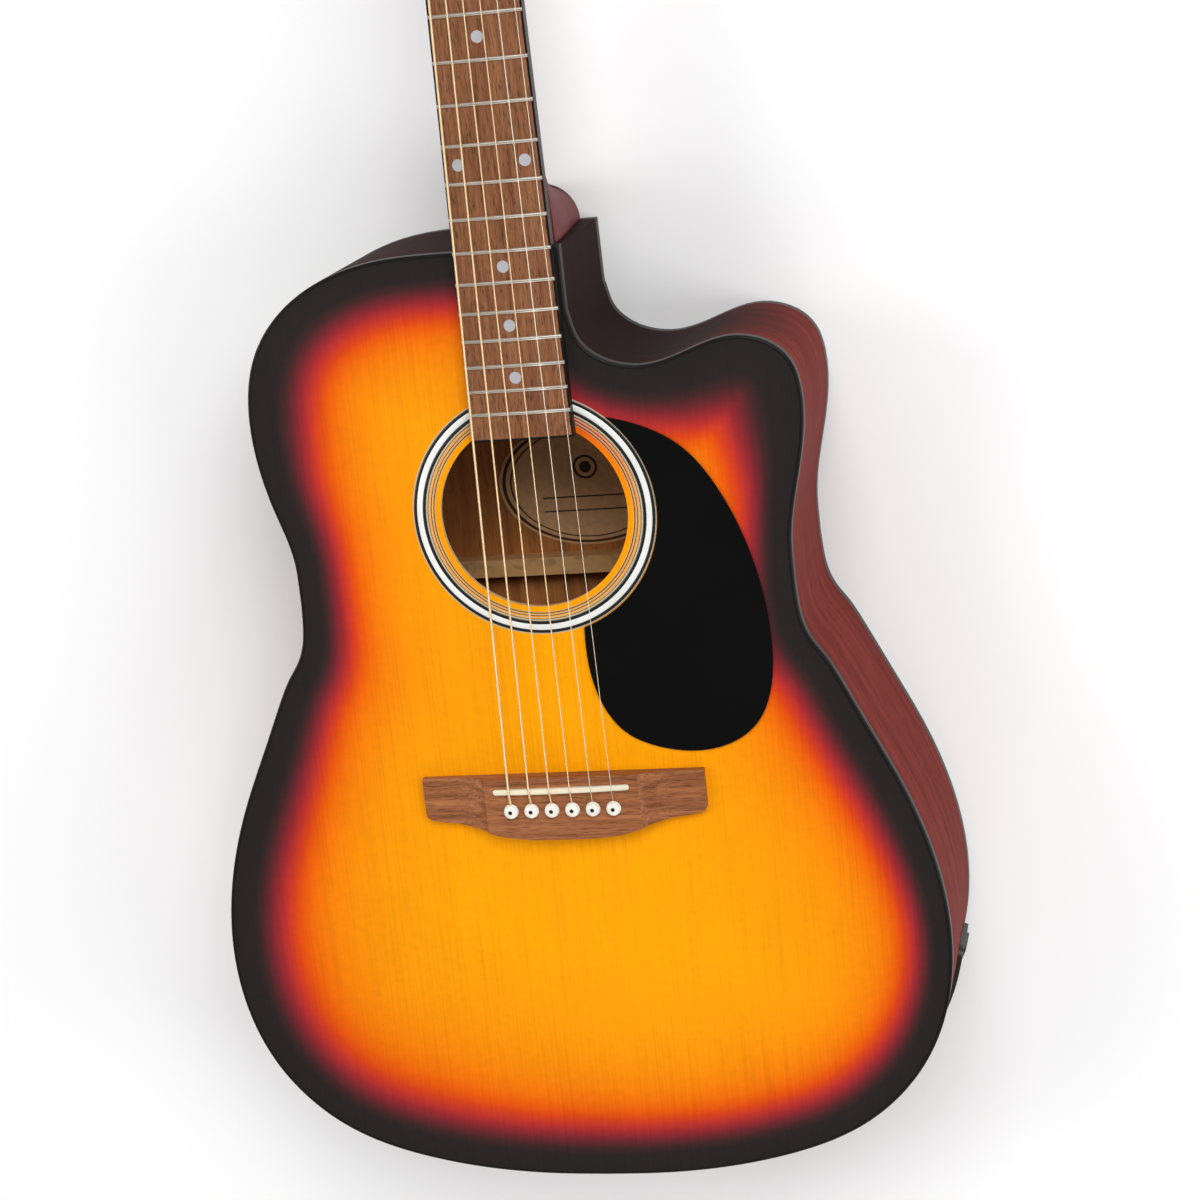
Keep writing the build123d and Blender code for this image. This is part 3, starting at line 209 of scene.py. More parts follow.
# ---------------------------------------------------------------- materials
def burst_finish():
    """Sunburst lacquer on spruce: its colour follows each point's distance from the rim."""
    made = Shader("sunburst_lacquer", roughness=0.40, Specular_IOR_Level=0.12)
    depth = made.node("ShaderNodeAttribute", attribute_name="burst_mm")
    share = made.sums("DIVIDE", depth.outputs["Fac"], burst_reach)
    burst = made.ramp(share, [(mm / burst_reach, srgb(*rgb)) for mm, rgb in burst_colours])
    lines = made.noise((900, 7, 200), detail=3, roughness=0.6)
    rays = made.noise((160, 260, 100), detail=2)
    patches = made.noise((14, 9, 9), detail=2)
    grain = made.ramp(lines, [(0.30, grey(238)), (0.52, grey(250)), (0.70, grey(255))])
    silk = made.ramp(rays, [(0.35, grey(249)), (0.65, grey(255))])
    cloud = made.ramp(patches, [(0.30, grey(247)), (0.70, grey(255))])
    toned = made.blend(1.0, burst, grain, "MULTIPLY")
    toned = made.blend(1.0, toned, silk, "MULTIPLY")
    made.colour(made.blend(1.0, toned, cloud, "MULTIPLY"))
    made.rough(patches, 0.36, 0.43)
    made.bump(lines, 0.012)
    return made.material


def grained(
    name, stops, grain, along, across, pores, roughness, relief=0.02, pore_shade=150, overspray_and_shade_spots=(), **sockets
):
    """Open-grained wood: broad streaks and fine dark pores, both drawn out along the grain's axis, with
    dark overspray and painted shade round the places given."""
    made = Shader(name, roughness=roughness, **sockets)

    def stretch(low, high):
        return tuple(low if axis in grain else high for axis in "XYZ")

    streaks = made.noise(stretch(along, across), detail=5, roughness=0.62, distortion=0.4)
    specks = made.noise(stretch(along * 14, pores), detail=2, roughness=0.5)
    base = made.ramp(streaks, stops)
    dark = made.ramp(specks, [(0.34, grey(pore_shade)), (0.46, grey(255))])
    tone = made.blend(1.0, base, dark, "MULTIPLY")
    # darken the wood towards that colour round each given spot; these spots hold the sides' real overspray
    # and painted shade
    for centre, inner, outer, strength in overspray_and_shade_spots:
        share = made.sums("MULTIPLY", made.nearness(centre, inner, outer), strength)
        tone = made.blend(share, tone, overspray_and_shade_colour)
    made.colour(tone)
    made.rough(streaks, roughness - 0.05, roughness + 0.06)
    made.bump(specks, relief)
    return made.material


def plain(name, colour, roughness, marks=400.0, relief=0.01, spread=0.05, **sockets):
    """Moulded, cast or polished stuff: one colour with the slight unevenness that handling leaves."""
    made = Shader(name, roughness=roughness, **sockets)
    fine = made.noise((marks, marks, marks), detail=3)
    broad = made.noise((30, 30, 30), detail=2)
    shade = made.ramp(broad, [(0.3, grey(240)), (0.7, grey(255))])
    made.colour(made.blend(1.0, srgb(*colour), shade, "MULTIPLY"))
    made.rough(broad, max(roughness - spread, 0.02), roughness + spread)
    made.bump(fine, relief)
    return made.material


def wound_finish():
    """Bronze wire wound tightly round each core, with a painted highlight on the crown of each turn and
    painted shade in the groove between turns.
    """
    made = Shader("wound_bronze", roughness=0.32, Metallic=0.7)
    turns = made.node("ShaderNodeTexWave", wave_type="BANDS", bands_direction="Y", wave_profile="SIN")
    turns.inputs["Scale"].default_value = 1.0
    made.link(made.place((1, 900, 1)), turns.inputs["Vector"])
    # painted shade in the grooves between turns and painted highlight on their crowns
    turn_highlight_and_shade = made.ramp(turns.outputs["Fac"], [(0.0, srgb(188, 152, 106)), (0.5, srgb(250, 222, 176))])
    made.colour(turn_highlight_and_shade)
    made.bump(turns.outputs["Fac"], 0.06)
    return made.material


def label_finish(centre, half_wide, half_high):
    """A paper label: two oval border lines, ruled lines and a small plain emblem."""
    made = Shader("label_paper", roughness=0.85)
    # ruled lines, as shares of the label's half width and half height
    row_gap, line_half, row_reach = 0.11, 0.012, 0.52
    first_row, last_row = -0.16, -0.62
    emblem_up = 0.25
    oval = made.place((1 / half_wide, 1 / half_high, 0), centre)
    distance = made.node("ShaderNodeVectorMath", operation="LENGTH")
    made.link(oval, distance.inputs[0])
    paper, ink = srgb(236, 188, 136), srgb(78, 54, 36)
    away = distance.outputs["Value"]
    borders = made.ramp(away, [
        (0.0, paper), (0.855, paper), (0.860, ink), (0.875, ink), (0.880, paper), (0.925, paper),
        (0.930, ink), (0.965, ink), (0.970, paper), (1.0, paper),
    ])
    parts = made.node("ShaderNodeSeparateXYZ")
    made.link(oval, parts.inputs[0])
    rows = made.node("ShaderNodeMath", operation="PINGPONG")
    made.link(parts.outputs["Y"], rows.inputs[0])
    rows.inputs[1].default_value = row_gap
    ruled = made.sums("LESS_THAN", rows.outputs[0], line_half)
    below = made.sums("LESS_THAN", parts.outputs["Y"], first_row)
    width = made.node("ShaderNodeMath", operation="ABSOLUTE")
    made.link(parts.outputs["X"], width.inputs[0])
    short = made.sums("LESS_THAN", width.outputs[0], row_reach)
    low = made.sums("GREATER_THAN", parts.outputs["Y"], last_row)
    ruled = made.sums("MULTIPLY", ruled, made.sums("MULTIPLY", below, made.sums("MULTIPLY", short, low)))
    emblem_at = (centre[0], centre[1] + emblem_up * half_high, 0)
    emblem_place = made.place((1 / half_high, 1 / half_high, 0), emblem_at)
    emblem = made.node("ShaderNodeVectorMath", operation="LENGTH")
    made.link(emblem_place, emblem.inputs[0])
    round_mark = made.ramp(emblem.outputs["Value"], [
        (0.0, grey(255)), (0.09, grey(255)), (0.095, grey(0)), (0.15, grey(0)), (0.155, grey(255)),
        (0.19, grey(255)), (0.195, grey(0)), (0.20, grey(0)),
    ])
    marks = made.sums("ADD", ruled, round_mark, clamp=True)
    printed = made.blend(marks, borders, ink)
    fibres = made.noise((260, 260, 260), detail=4)
    tone = made.ramp(fibres, [(0.3, grey(226)), (0.7, grey(255))])
    made.colour(made.blend(1.0, printed, tone, "MULTIPLY"))
    made.bump(fibres, 0.02)
    return made.material


# sunburst colours by distance in millimetres from the rim, from the black edge to the amber middle
burst_reach = 130.0
burst_colours = [
    (0, (34, 31, 30)),
    (14, (40, 34, 33)),
    (18, (66, 36, 37)),
    (22, (108, 37, 43)),
    (26, (152, 40, 45)),
    (30, (190, 50, 40)),
    (34, (214, 66, 20)),
    (38, (230, 88, 4)),
    (44, (240, 112, 1)),
    (52, (245, 130, 1)),
    (64, (249, 144, 1)),
    (84, (252, 156, 1)),
    (130, (255, 165, 0)),
]

lacquer = burst_finish()
black_edge = plain("black_binding_gloss", (24, 21, 20), 0.34, Specular_IOR_Level=0.12)
spruce_end = grained(
    "cut_spruce_edge", [(0.3, srgb(214, 172, 110)), (0.7, srgb(240, 206, 150))], "Y", 20, 500, 2200, 0.6
)
# dark overspray and painted shade on the sides beside the neck: centre, radii where it is full and where it
# ends, strength
# the first spot, beside the heel, is the sides' own black overspray; the second, on the bass shoulder's side,
# is painted shade
side_overspray_and_shade = [((45, -392, -50), 45, 115, 0.95), ((-95, -362, -50), 60, 150, 0.9)]
stained_side = grained(
    "stained_mahogany_side",
    [(0.28, srgb(92, 34, 29)), (0.5, srgb(114, 45, 39)), (0.72, srgb(130, 54, 47))],
    "XY", 7, 170, 1500, 0.50, pore_shade=200, Specular_IOR_Level=0.01,
    overspray_and_shade_spots=side_overspray_and_shade,
)
stained_neck = grained(
    "stained_neck_wood",
    [(0.28, srgb(88, 40, 39)), (0.5, srgb(108, 52, 52)), (0.72, srgb(120, 61, 60))],
    "Y", 7, 170, 1500, 0.48, pore_shade=204, Specular_IOR_Level=0.05,
)
board_walnut = grained(
    "fingerboard_walnut",
    [
        (0.22, srgb(90, 52, 31)), (0.40, srgb(118, 74, 48)),
        (0.58, srgb(138, 91, 61)), (0.80, srgb(158, 110, 77)),
    ],
    "Y", 9, 330, 2400, 0.58, relief=0.03, pore_shade=158, Specular_IOR_Level=0.15,
)
bridge_walnut = grained(
    "bridge_walnut",
    [
        (0.22, srgb(98, 54, 31)), (0.42, srgb(136, 81, 48)),
        (0.60, srgb(162, 102, 63)), (0.82, srgb(186, 126, 82)),
    ],
    "X", 9, 300, 2400, 0.5, relief=0.03, pore_shade=160, Specular_IOR_Level=0.25,
)
pale_spruce = grained(
    "bare_spruce", [(0.3, srgb(202, 150, 92)), (0.7, srgb(226, 180, 122))],
    "XY", 8, 420, 1800, 0.7, pore_shade=220,
)
inner_wood = grained(
    "bare_mahogany", [(0.3, srgb(158, 96, 44)), (0.7, srgb(198, 126, 62))],
    "Y", 8, 260, 1500, 0.65, pore_shade=215,
)
guard_sheet = plain("pickguard_sheet", (8, 8, 8), 0.34, relief=0.004, Specular_IOR_Level=0.1)
bone = plain("bone", (232, 222, 196), 0.35)
pin_white = plain("pin_plastic", (236, 232, 220), 0.22, Coat_Weight=0.3)
dot_black = plain("dot_black", (16, 15, 15), 0.3)
pearl = plain("pearl_dot", (176, 176, 182), 0.25, marks=160, Sheen_Weight=0.2)
ring_white = plain("ring_white", (236, 236, 232), 0.3)
ring_fine = plain("ring_fine", (188, 178, 148), 0.3)
ring_black = plain("ring_black", (22, 21, 22), 0.3)
fret_metal = plain("fret_metal", (214, 206, 194), 0.30, relief=0.004, Metallic=0.85)
steel_wire = plain("plain_steel_wire", (238, 228, 208), 0.30, relief=0.002, Metallic=0.6)
chrome = plain("tuner_chrome", (206, 207, 210), 0.12, relief=0.003, spread=0.04, Metallic=1.0)
dark_steel = plain("rod_steel", (110, 110, 112), 0.4, Metallic=1.0)
moulding = plain("black_moulding", (24, 24, 25), 0.42, marks=1500, relief=0.02)
veneer_black = plain("headstock_black", (20, 18, 18), 0.28, relief=0.004, Coat_Weight=0.4)
battery_wrap = plain("battery_wrap", (38, 40, 46), 0.35)
bronze = wound_finish()


# ---------------------------------------------------------------- piece helpers
def finished(name, bm, material, body="guitar", replaces=(), drawn=True, crease=50.0, weighted=False):
    """Turn a bmesh into a piece of the guitar: smooth-shaded between creases and riding on a body."""
    if drawn:
        bm.transform(LAID)
    bm.normal_update()
    for face in bm.faces:
        face.smooth = True
    for edge in bm.edges:
        edge.smooth = len(edge.link_faces) == 2 and edge.calc_face_angle(0.0) < radians(crease)
    mesh = bpy.data.meshes.new(name)
    bm.to_mesh(mesh)
    bm.free()
    made = bpy.data.objects.new(name, mesh)
    bpy.context.scene.collection.objects.link(made)
    materials = material if isinstance(material, (list, tuple)) else [material]
    for each in materials:
        mesh.materials.append(each)
    if weighted:
        normals = made.modifiers.new("even_shading", "WEIGHTED_NORMAL")
        normals.keep_sharp = True
    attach(made, body)
    for node in replaces:
        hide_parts(node)
    return made


def faces_inwards(face):
    """Whether a face of the body's shell looks into the body."""
    centre = DRAWN @ face.calc_center_median()
    normal = turned.transposed() @ face.normal
    if normal.z > 0.7:
        return True
    nearest = ((outer_rim - np.array(centre.xy)) ** 2).sum(axis=1).argmin()
    return normal.xy.dot(Vector(rim_normals[nearest])) < -0.5


wing_start = 45.0
seam_slack = 0.3


def even_wings(bm):
    """Draw the bass end of the bridge again, beyond a distance from the middle, as the mirror image of
    its treble end."""
    bm.transform(DRAWN)
    wing = bm.copy()
    for part, keeps in ((bm, -1), (wing, 1)):
        bmesh.ops.bisect_plane(
            part, geom=[*part.verts, *part.edges, *part.faces], dist=1e-4,
            plane_co=(keeps * wing_start, 0, 0), plane_no=(-1, 0, 0), clear_outer=True,
        )
    bmesh.ops.scale(wing, vec=(-1, 1, 1), verts=wing.verts)
    bmesh.ops.reverse_faces(wing, faces=wing.faces)
    carried = bpy.data.meshes.new("wing")
    wing.to_mesh(carried)
    wing.free()
    bm.from_mesh(carried)
    bpy.data.meshes.remove(carried)
    seam = [vertex for vertex in bm.verts if abs(vertex.co.x + wing_start) < 0.001]
    bmesh.ops.remove_doubles(bm, verts=seam, dist=seam_slack)
    bm.transform(LAID)


def softened(
    node, width, material, body="guitar", segments=2, sharp=32.0, crease=50.0, inside=None, mend=None
):
    """A CAD node again with its hard edges rounded over by a width in millimetres, and with another
    material on the faces that look into the body."""
    bm = bmesh.new()
    bm.from_mesh(frame["nodes"][node].data)
    bmesh.ops.remove_doubles(bm, verts=bm.verts, dist=0.003 * MM)
    bmesh.ops.dissolve_limit(bm, angle_limit=radians(0.6), verts=bm.verts, edges=bm.edges)
    if mend:
        mend(bm)
    if width:
        hard = [edge for edge in bm.edges
                if len(edge.link_faces) == 2 and edge.calc_face_angle(0.0) > radians(sharp)]
        bmesh.ops.bevel(
            bm, geom=hard, offset=width * MM, offset_type="OFFSET", segments=segments, profile=0.5,
            affect="EDGES", clamp_overlap=True,
        )
    if inside:
        bm.normal_update()
        for face in bm.faces:
            face.material_index = int(faces_inwards(face))
    materials = [material, inside] if inside else material
    return finished(
        f"{node}_finished", bm, materials, body, replaces=[node], drawn=False, crease=crease,
        weighted=True,
    )


def repaint(node, material):
    """Give a CAD node that keeps its own shape its material."""
    mesh = frame["nodes"][node].data
    mesh.materials.clear()
    mesh.materials.append(material)


def swept_loop(bm, loop, outward, profile, closed=True, material=0):
    """A profile of pairs, outwards and upwards, carried along a level loop."""
    rows = []
    for (x, y, z), (nx, ny) in zip(loop, outward):
        rows.append([bm.verts.new((x + nx * out, y + ny * out, z + up)) for out, up in profile])
    last = len(rows) if closed else len(rows) - 1
    for step in range(last):
        near, far = rows[step], rows[(step + 1) % len(rows)]
        for side in range(len(profile)):
            other = (side + 1) % len(profile)
            bm.faces.new((near[side], near[other], far[other], far[side])).material_index = material
    return rows


def lathe(bm, centre, axis, profile, sides=48, material=0, ripple=None):
    """A profile of pairs, radius and height, turned round an axis."""
    up = Vector(axis).normalized()
    side = up.orthogonal().normalized()
    other = up.cross(side)
    rows = []
    for radius, height in profile:
        row = []
        for step in range(sides):
            angle = tau * step / sides
            reach = radius if ripple is None else ripple(radius, height, angle)
            around = side * cos(angle) + other * sin(angle)
            row.append(bm.verts.new(Vector(centre) + around * reach + up * height))
        rows.append(row)
    for low, high in zip(rows, rows[1:]):
        for step in range(sides):
            after = (step + 1) % sides
            bm.faces.new((low[step], low[after], high[after], high[step])).material_index = material
    bm.faces.new(list(reversed(rows[0]))).material_index = material
    bm.faces.new(rows[-1]).material_index = material


def tube(bm, points, radii, sides=10, material=0):
    """A round bar along points, with its own radius at each."""
    points = [Vector(point) for point in points]
    rows = []
    for index, (point, radius) in enumerate(zip(points, radii)):
        before = points[max(index - 1, 0)]
        after = points[min(index + 1, len(points) - 1)]
        along = (after - before).normalized()
        side = along.cross(Vector((1, 0, 0)))
        side = side.normalized() if side.length > 0.2 else along.cross(Vector((0, 0, 1))).normalized()
        other = along.cross(side)
        rows.append([
            bm.verts.new(point + (side * cos(tau * k / sides) + other * sin(tau * k / sides)) * radius)
            for k in range(sides)
        ])
    for low, high in zip(rows, rows[1:]):
        for k in range(sides):
            after = (k + 1) % sides
            bm.faces.new((low[k], low[after], high[after], high[k])).material_index = material
    bm.faces.new(list(reversed(rows[0]))).material_index = material
    bm.faces.new(rows[-1]).material_index = material


# ---------------------------------------------------------------- the body outline, from the CAD soundboard
def edge_loops(node, level):
    """Closed loops of a CAD node's edge round its face at a drawing height, as lists of points."""
    bm = bmesh.new()
    bm.from_mesh(frame["nodes"][node].data)
    bm.transform(DRAWN)
    bmesh.ops.remove_doubles(bm, verts=bm.verts, dist=0.003)
    bm.normal_update()
    following = {}
    for edge in bm.edges:
        first, second = edge.verts
        if abs(first.co.z - level) > 0.02 or abs(second.co.z - level) > 0.02 or len(edge.link_faces) != 2:
            continue
        upright = [abs(face.normal.z) > 0.9 for face in edge.link_faces]
        if upright[0] != upright[1]:
            following.setdefault(first.index, []).append(second.index)
            following.setdefault(second.index, []).append(first.index)
    bm.verts.ensure_lookup_table()
    loops, seen = [], set()
    for start in following:
        if start in seen:
            continue
        loop, here = [], start
        while here is not None and here not in seen:
            seen.add(here)
            loop.append(bm.verts[here].co.copy())
            here = next((index for index in following[here] if index not in seen), None)
        loops.append(loop)
    bm.free()
    return loops


def turn_at(loop, index):
    """How sharply a loop turns at a point, in radians."""
    before = (loop[index] - loop[index - 1]).xy
    after = (loop[(index + 1) % len(loop)] - loop[index]).xy
    return before.angle(after, 0.0)


def even_loop(loop, step, corner=radians(28)):
    """The loop again with evenly spaced points on a smooth curve between its corners."""
    corners = [index for index in range(len(loop)) if turn_at(loop, index) > corner] or [0]
    even = []
    for first, last in zip(corners, corners[1:] + [corners[0] + len(loop)]):
        run = [loop[index % len(loop)] for index in range(first, last + 1)]
        for index in range(len(run) - 1):
            a, b = run[index], run[index + 1]
            before = run[index - 1] if index else a - (b - a)
            after = run[index + 2] if index + 2 < len(run) else b + (b - a)
            count = max(1, round((b - a).length / step))
            chord = (b - a).length
            into = (b - before).normalized() * chord
            out = (after - a).normalized() * chord
            for k in range(count):
                t = k / count
                even.append(
                    a * (2 * t**3 - 3 * t**2 + 1) + into * (t**3 - 2 * t**2 + t)
                    + b * (3 * t**2 - 2 * t**3) + out * (t**3 - t**2)
                )
    return even


def loop_normals(loop):
    """Outward level normals of a loop that runs counterclockwise, longer at the corners."""
    normals = []
    for index in range(len(loop)):
        before = (loop[index] - loop[index - 1]).xy.normalized()
        after = (loop[(index + 1) % len(loop)] - loop[index]).xy.normalized()
        first = Vector((before.y, -before.x))
        second = Vector((after.y, -after.x))
        middle = (first + second).normalized()
        reach = 1 / max(middle.dot(first), 0.4)
        normals.append((middle.x * reach, middle.y * reach))
    return normals


def loop_length(loop):
    """How far a loop reaches along the guitar."""
    heights = [point.y for point in loop]
    return max(heights) - min(heights)


rim_step = 3.0
rim = max(edge_loops("soundboard", 0.0), key=loop_length)
area = sum(a.x * b.y - b.x * a.y for a, b in zip(rim, rim[1:] + rim[:1]))
if area < 0:
    rim.reverse()
rim = even_loop(rim, rim_step)
rim_normals = loop_normals(rim)
binding_wide = 2.0
outer_rim = np.array([
    (point.x + out[0] * binding_wide, point.y + out[1] * binding_wide) for point, out in zip(rim, rim_normals)
])


def rim_distance(points):
    """Distance in the plane of the top from each point to the nearest stretch of the outer rim."""
    starts = outer_rim
    spans = np.roll(outer_rim, -1, axis=0) - starts
    lengths = (spans**2).sum(axis=1)
    nearest = np.empty(len(points))
    for index, point in enumerate(points):
        away = point - starts
        share = np.clip((away * spans).sum(axis=1) / lengths, 0, 1)
        gap = away - share[:, None] * spans
        nearest[index] = np.sqrt((gap**2).sum(axis=1).min())
    return nearest


def soft_spot(points, centre, radius):
    """A smooth hill of height 1 at a centre, for local changes of the sunburst."""
    away = ((points - np.array(centre)) ** 2).sum(axis=1)
    return np.exp(-away / radius**2)


# where the dark edge is wider (a share below zero) or narrower: centre, radius and share
burst_spots = [
    ((118, -446), 52, -0.41),
    ((120, -500), 40, 0.30),
    ((-130, -420), 60, -0.22),
    ((-105, -520), 60, 0.11),
    ((-170, -650), 60, -0.13),
    ((-130, -770), 75, -0.20),
    ((-60, -800), 70, -0.12),
    ((190, -740), 60, 0.30),
]
burst_shift = 1.7


def burst_depth(points):
    """The sunburst's own distance: the rim distance, stretched or shrunk round a few places where the
    spray was wider or narrower."""
    share = 1 + sum(amount * soft_spot(points, centre, radius) for centre, radius, amount in burst_spots)
    return np.maximum(rim_distance(points) * share + burst_shift, 0)


# ---------------------------------------------------------------- the top
def circle_points(radius, centre, count):
    angles = [tau * k / count for k in range(count)]
    return [(centre[0] + radius * cos(angle), centre[1] + radius * sin(angle)) for angle in angles]


def top_plate():
    """The soundboard with a fine mesh, so that the sunburst's distance can be stored at its points."""
    spacing = 4.0
    edge = [(point.x, point.y) for point in rim]
    hole = circle_points(hole_radius, (0, hole_y), 160)
    edge_array = np.array(edge)
    xs = np.arange(edge_array[:, 0].min(), edge_array[:, 0].max(), spacing)
    ys = np.arange(edge_array[:, 1].min(), edge_array[:, 1].max(), spacing)
    grid = np.array([(x, y) for x in xs for y in ys])
    from_hole = np.hypot(grid[:, 0], grid[:, 1] - hole_y)
    grid = grid[from_hole > hole_radius + 1.5]
    grid = grid[rim_distance(grid) > binding_wide + 1.5]
    points = [Vector(p) for p in edge] + [Vector(p) for p in hole] + [Vector(p) for p in grid]
    count = len(edge)
    ring = list(range(count, count + len(hole)))
    edges = [(k, (k + 1) % count) for k in range(count)]
    edges += [(ring[k], ring[(k + 1) % len(ring)]) for k in range(len(ring))]
    flat, _, faces, *_ = delaunay_2d_cdt(points, edges, [list(range(count))], 1, 1e-4)
    flat = np.array([tuple(point) for point in flat])
    kept = []
    for face in faces:
        middle = flat[list(face)].mean(axis=0)
        if np.hypot(middle[0], middle[1] - hole_y) > hole_radius:
            kept.append(face)
    depths = burst_depth(flat)
    bm = bmesh.new()
    stored = bm.verts.layers.float.new("burst_mm")
    upper, lower = {}, {}
    for face in kept:
        for index in face:
            if index not in upper:
                upper[index] = bm.verts.new((flat[index][0], flat[index][1], 0))
                lower[index] = bm.verts.new((flat[index][0], flat[index][1], -top_thick))
                upper[index][stored] = depths[index]
                lower[index][stored] = 100.0
    sides = {}
    for face in kept:
        bm.faces.new([upper[index] for index in face])
        bm.faces.new([lower[index] for index in reversed(face)]).material_index = 1
        for first, second in zip(face, face[1:] + face[:1]):
            sides[(first, second)] = (second, first) in sides or sides.get((first, second), False)
    for first, second in sides:
        if (second, first) not in sides:
            bm.faces.new((upper[second], upper[first], lower[first], lower[second])).material_index = 1
    bmesh.ops.recalc_face_normals(bm, faces=bm.faces)
    return finished("top_plate", bm, [lacquer, spruce_end], replaces=["soundboard"])


top_plate()


def binding_strip():
    """The black binding round the top, with its outer edge rounded over."""
    rounded = 1.3
    steps = 5
    turns = [pi / 2 * k / steps for k in range(steps + 1)]
    arc = [(binding_wide - rounded + rounded * sin(turn), -rounded + rounded * cos(turn)) for turn in turns]
    profile = [(0.0, -binding_high), (0.0, 0.0), *arc, (binding_wide, -binding_high)]
    bm = bmesh.new()
    swept_loop(bm, rim, rim_normals, profile)
    bmesh.ops.recalc_face_normals(bm, faces=bm.faces)
    return finished("binding_strip", bm, black_edge, replaces=["binding_top"])


binding_strip()

# rings of the rosette: inner radius, outer radius and whether it is white
rosette_rings = [
    (53.1, 53.4, True), (53.4, 53.9, False), (54.4, 54.9, True), (54.9, 55.3, False),
    (55.9, 56.4, True), (56.8, 57.1, False), (57.1, 58.0, True),
    (58.0, 59.8, False), (59.8, 62.8, True), (62.8, 64.5, False), (64.5, 65.1, True),
]


def rosette_ring(inner, outer, name, material):
    """One inlaid ring, standing a hair proud with its edges eased."""
    proud, ease, sides = 0.06, 0.04, 192
    bm = bmesh.new()
    loop = [Vector((x, y, 0)) for x, y in circle_points((inner + outer) / 2, (0, hole_y), sides)]
    outward = [(cos(tau * k / sides), sin(tau * k / sides)) for k in range(sides)]
    half = (outer - inner) / 2
    profile = [(-half, -0.3), (-half, proud - ease), (-half + ease, proud), (half - ease, proud),
               (half, proud - ease), (half, -0.3)]
    swept_loop(bm, loop, outward, profile)
    bmesh.ops.recalc_face_normals(bm, faces=bm.faces)
    return finished(name, bm, material, replaces=["rosette"])


broad_ring = 1.5
for number, (inner, outer, is_white) in enumerate(rosette_rings):
    pale = ring_white if outer - inner > broad_ring else ring_fine
    rosette_ring(inner, outer, f"rosette_ring_{number + 1}", pale if is_white else ring_black)

# ---------------------------------------------------------------- body pieces that keep their CAD shape
softened("side_bass", 0, stained_side, inside=inner_wood)
softened("side_treble", 0, stained_side, inside=inner_wood)
softened("binding_back", 0.9, black_edge)
softened("tail_graft", 0, black_edge)
softened("back_plate", 0, stained_side, inside=inner_wood)
softened("pickguard", 0.35, guard_sheet)
softened("heel_cap", 0.6, black_edge)
for node in ("x_braces", "upper_brace", "tone_bars", "back_braces"):
    softened(node, 0.8, pale_spruce)
for node in ("lining_top", "lining_back"):
    repaint(node, pale_spruce)
for node in ("neck_block", "tail_block", "bridge_plate"):
    repaint(node, inner_wood)
repaint("truss_rod", dark_steel)
repaint("saddle_pickup", moulding)
repaint("battery", battery_wrap)

label_low, label_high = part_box("soundhole_label")
label_middle = (label_low + label_high) / 2
label_half = (label_high - label_low) / 2
repaint("soundhole_label", label_finish(tuple(label_middle), label_half.x, label_half.y))

# ---------------------------------------------------------------- bridge, saddle and pins
softened("bridge", 0.5, bridge_walnut, mend=even_wings)
softened("saddle", 0.35, bone, segments=3)

pin_x = [(i / (len(string_radii) - 1) - 0.5) * span_bridge for i in range(len(string_radii))]
nut_x = [(i / (len(string_radii) - 1) - 0.5) * span_nut for i in range(len(string_radii))]


def bridge_pins():
    """Six turned pins with a collar, a domed head and a small black dot."""
    base = bridge_high
    profile = [
        (2.4, -5.8 - base), (2.5, 0.0), (3.3, 0.0), (3.85, 0.25), (4.0, 0.7), (3.9, 1.15), (3.5, 1.4),
        (3.55, 1.7), (3.75, 2.1), (3.6, 2.7), (3.0, 3.2), (2.0, 3.5), (1.1, 3.6),
    ]
    dot = [(1.1, 3.3), (1.1, 3.62), (0.8, 3.72), (0.3, 3.76)]
    bm = bmesh.new()
    for x in pin_x:
        lathe(bm, (x, pin_y, base), (0, 0, 1), profile, sides=40)
        lathe(bm, (x, pin_y, base), (0, 0, 1), dot, sides=24, material=1)
    finished("turned_bridge_pins", bm, [pin_white, dot_black], replaces=["bridge_pins"])


bridge_pins()


# ---------------------------------------------------------------- strings
string_past_pin = 2.35
wrap_height = 5.0
post_radius = 3.0
saddle_crest = 12.3
saddle_arch = 400.0
nut_crest = 7.25
board_arch = 350.0
# a wound string is thicker where it is lapped back on itself, from its ball to near the saddle
lapped_points = 4
lapped_share = 1.45


def arched(crest, radius, x):
    """Height at x of an arc across the strings with its crest at this height."""
    return crest - radius + sqrt(radius**2 - x**2)


def string_run(number):
    """The points of one string in the drawing frame, and its radius at each."""
    radius = string_radii[number]
    x = pin_x[number]
    slot_y = pin_y + string_past_pin
    post = joint[f"post_{number + 1}_turn"]
    post_foot = DRAWN @ Vector(post["pos_m"])
    post_way = (turned.transposed() @ Vector(post["axis"])).normalized()
    side = -1 if post_foot.x < 0 else 1
    meets = post_foot + post_way * wrap_height - Vector((side, 0, 0)) * (post_radius + 0.6 * radius)
    saddle_top = arched(saddle_crest, saddle_arch, x)
    rest_y = saddle_y + x * saddle_slant
    nut_rest = arched(nut_crest, board_arch, nut_x[number])
    over_saddle = Vector((x, rest_y, saddle_top + radius))
    over_nut = Vector((nut_x[number], 2.5, nut_rest + radius))
    points = [
        Vector((x, slot_y, -8)),
        Vector((x, slot_y, bridge_high - 1.5)),
        Vector((x, slot_y + 0.5, bridge_high + 0.2)),
        Vector((x, slot_y + 1.7, bridge_high + 0.9)),
        over_saddle + Vector((0, -1.3, -0.35)),
        over_saddle,
        over_saddle + (over_nut - over_saddle).normalized() * 1.3,
        over_nut + (over_saddle - over_nut).normalized() * 2.5,
        over_nut,
        over_nut + (meets - over_nut).normalized() * 2.5,
        meets,
    ]
    radii = [radius] * len(points)
    if number < wound_count:
        radii[:lapped_points] = [radius * lapped_share] * lapped_points
    return points, radii


# the ball at each string's end, lying across the guitar
ball_long = 3.4
ball_profile = [(0.8, 0), (1.9, 0.3), (1.9, ball_long - 0.3), (0.8, ball_long)]


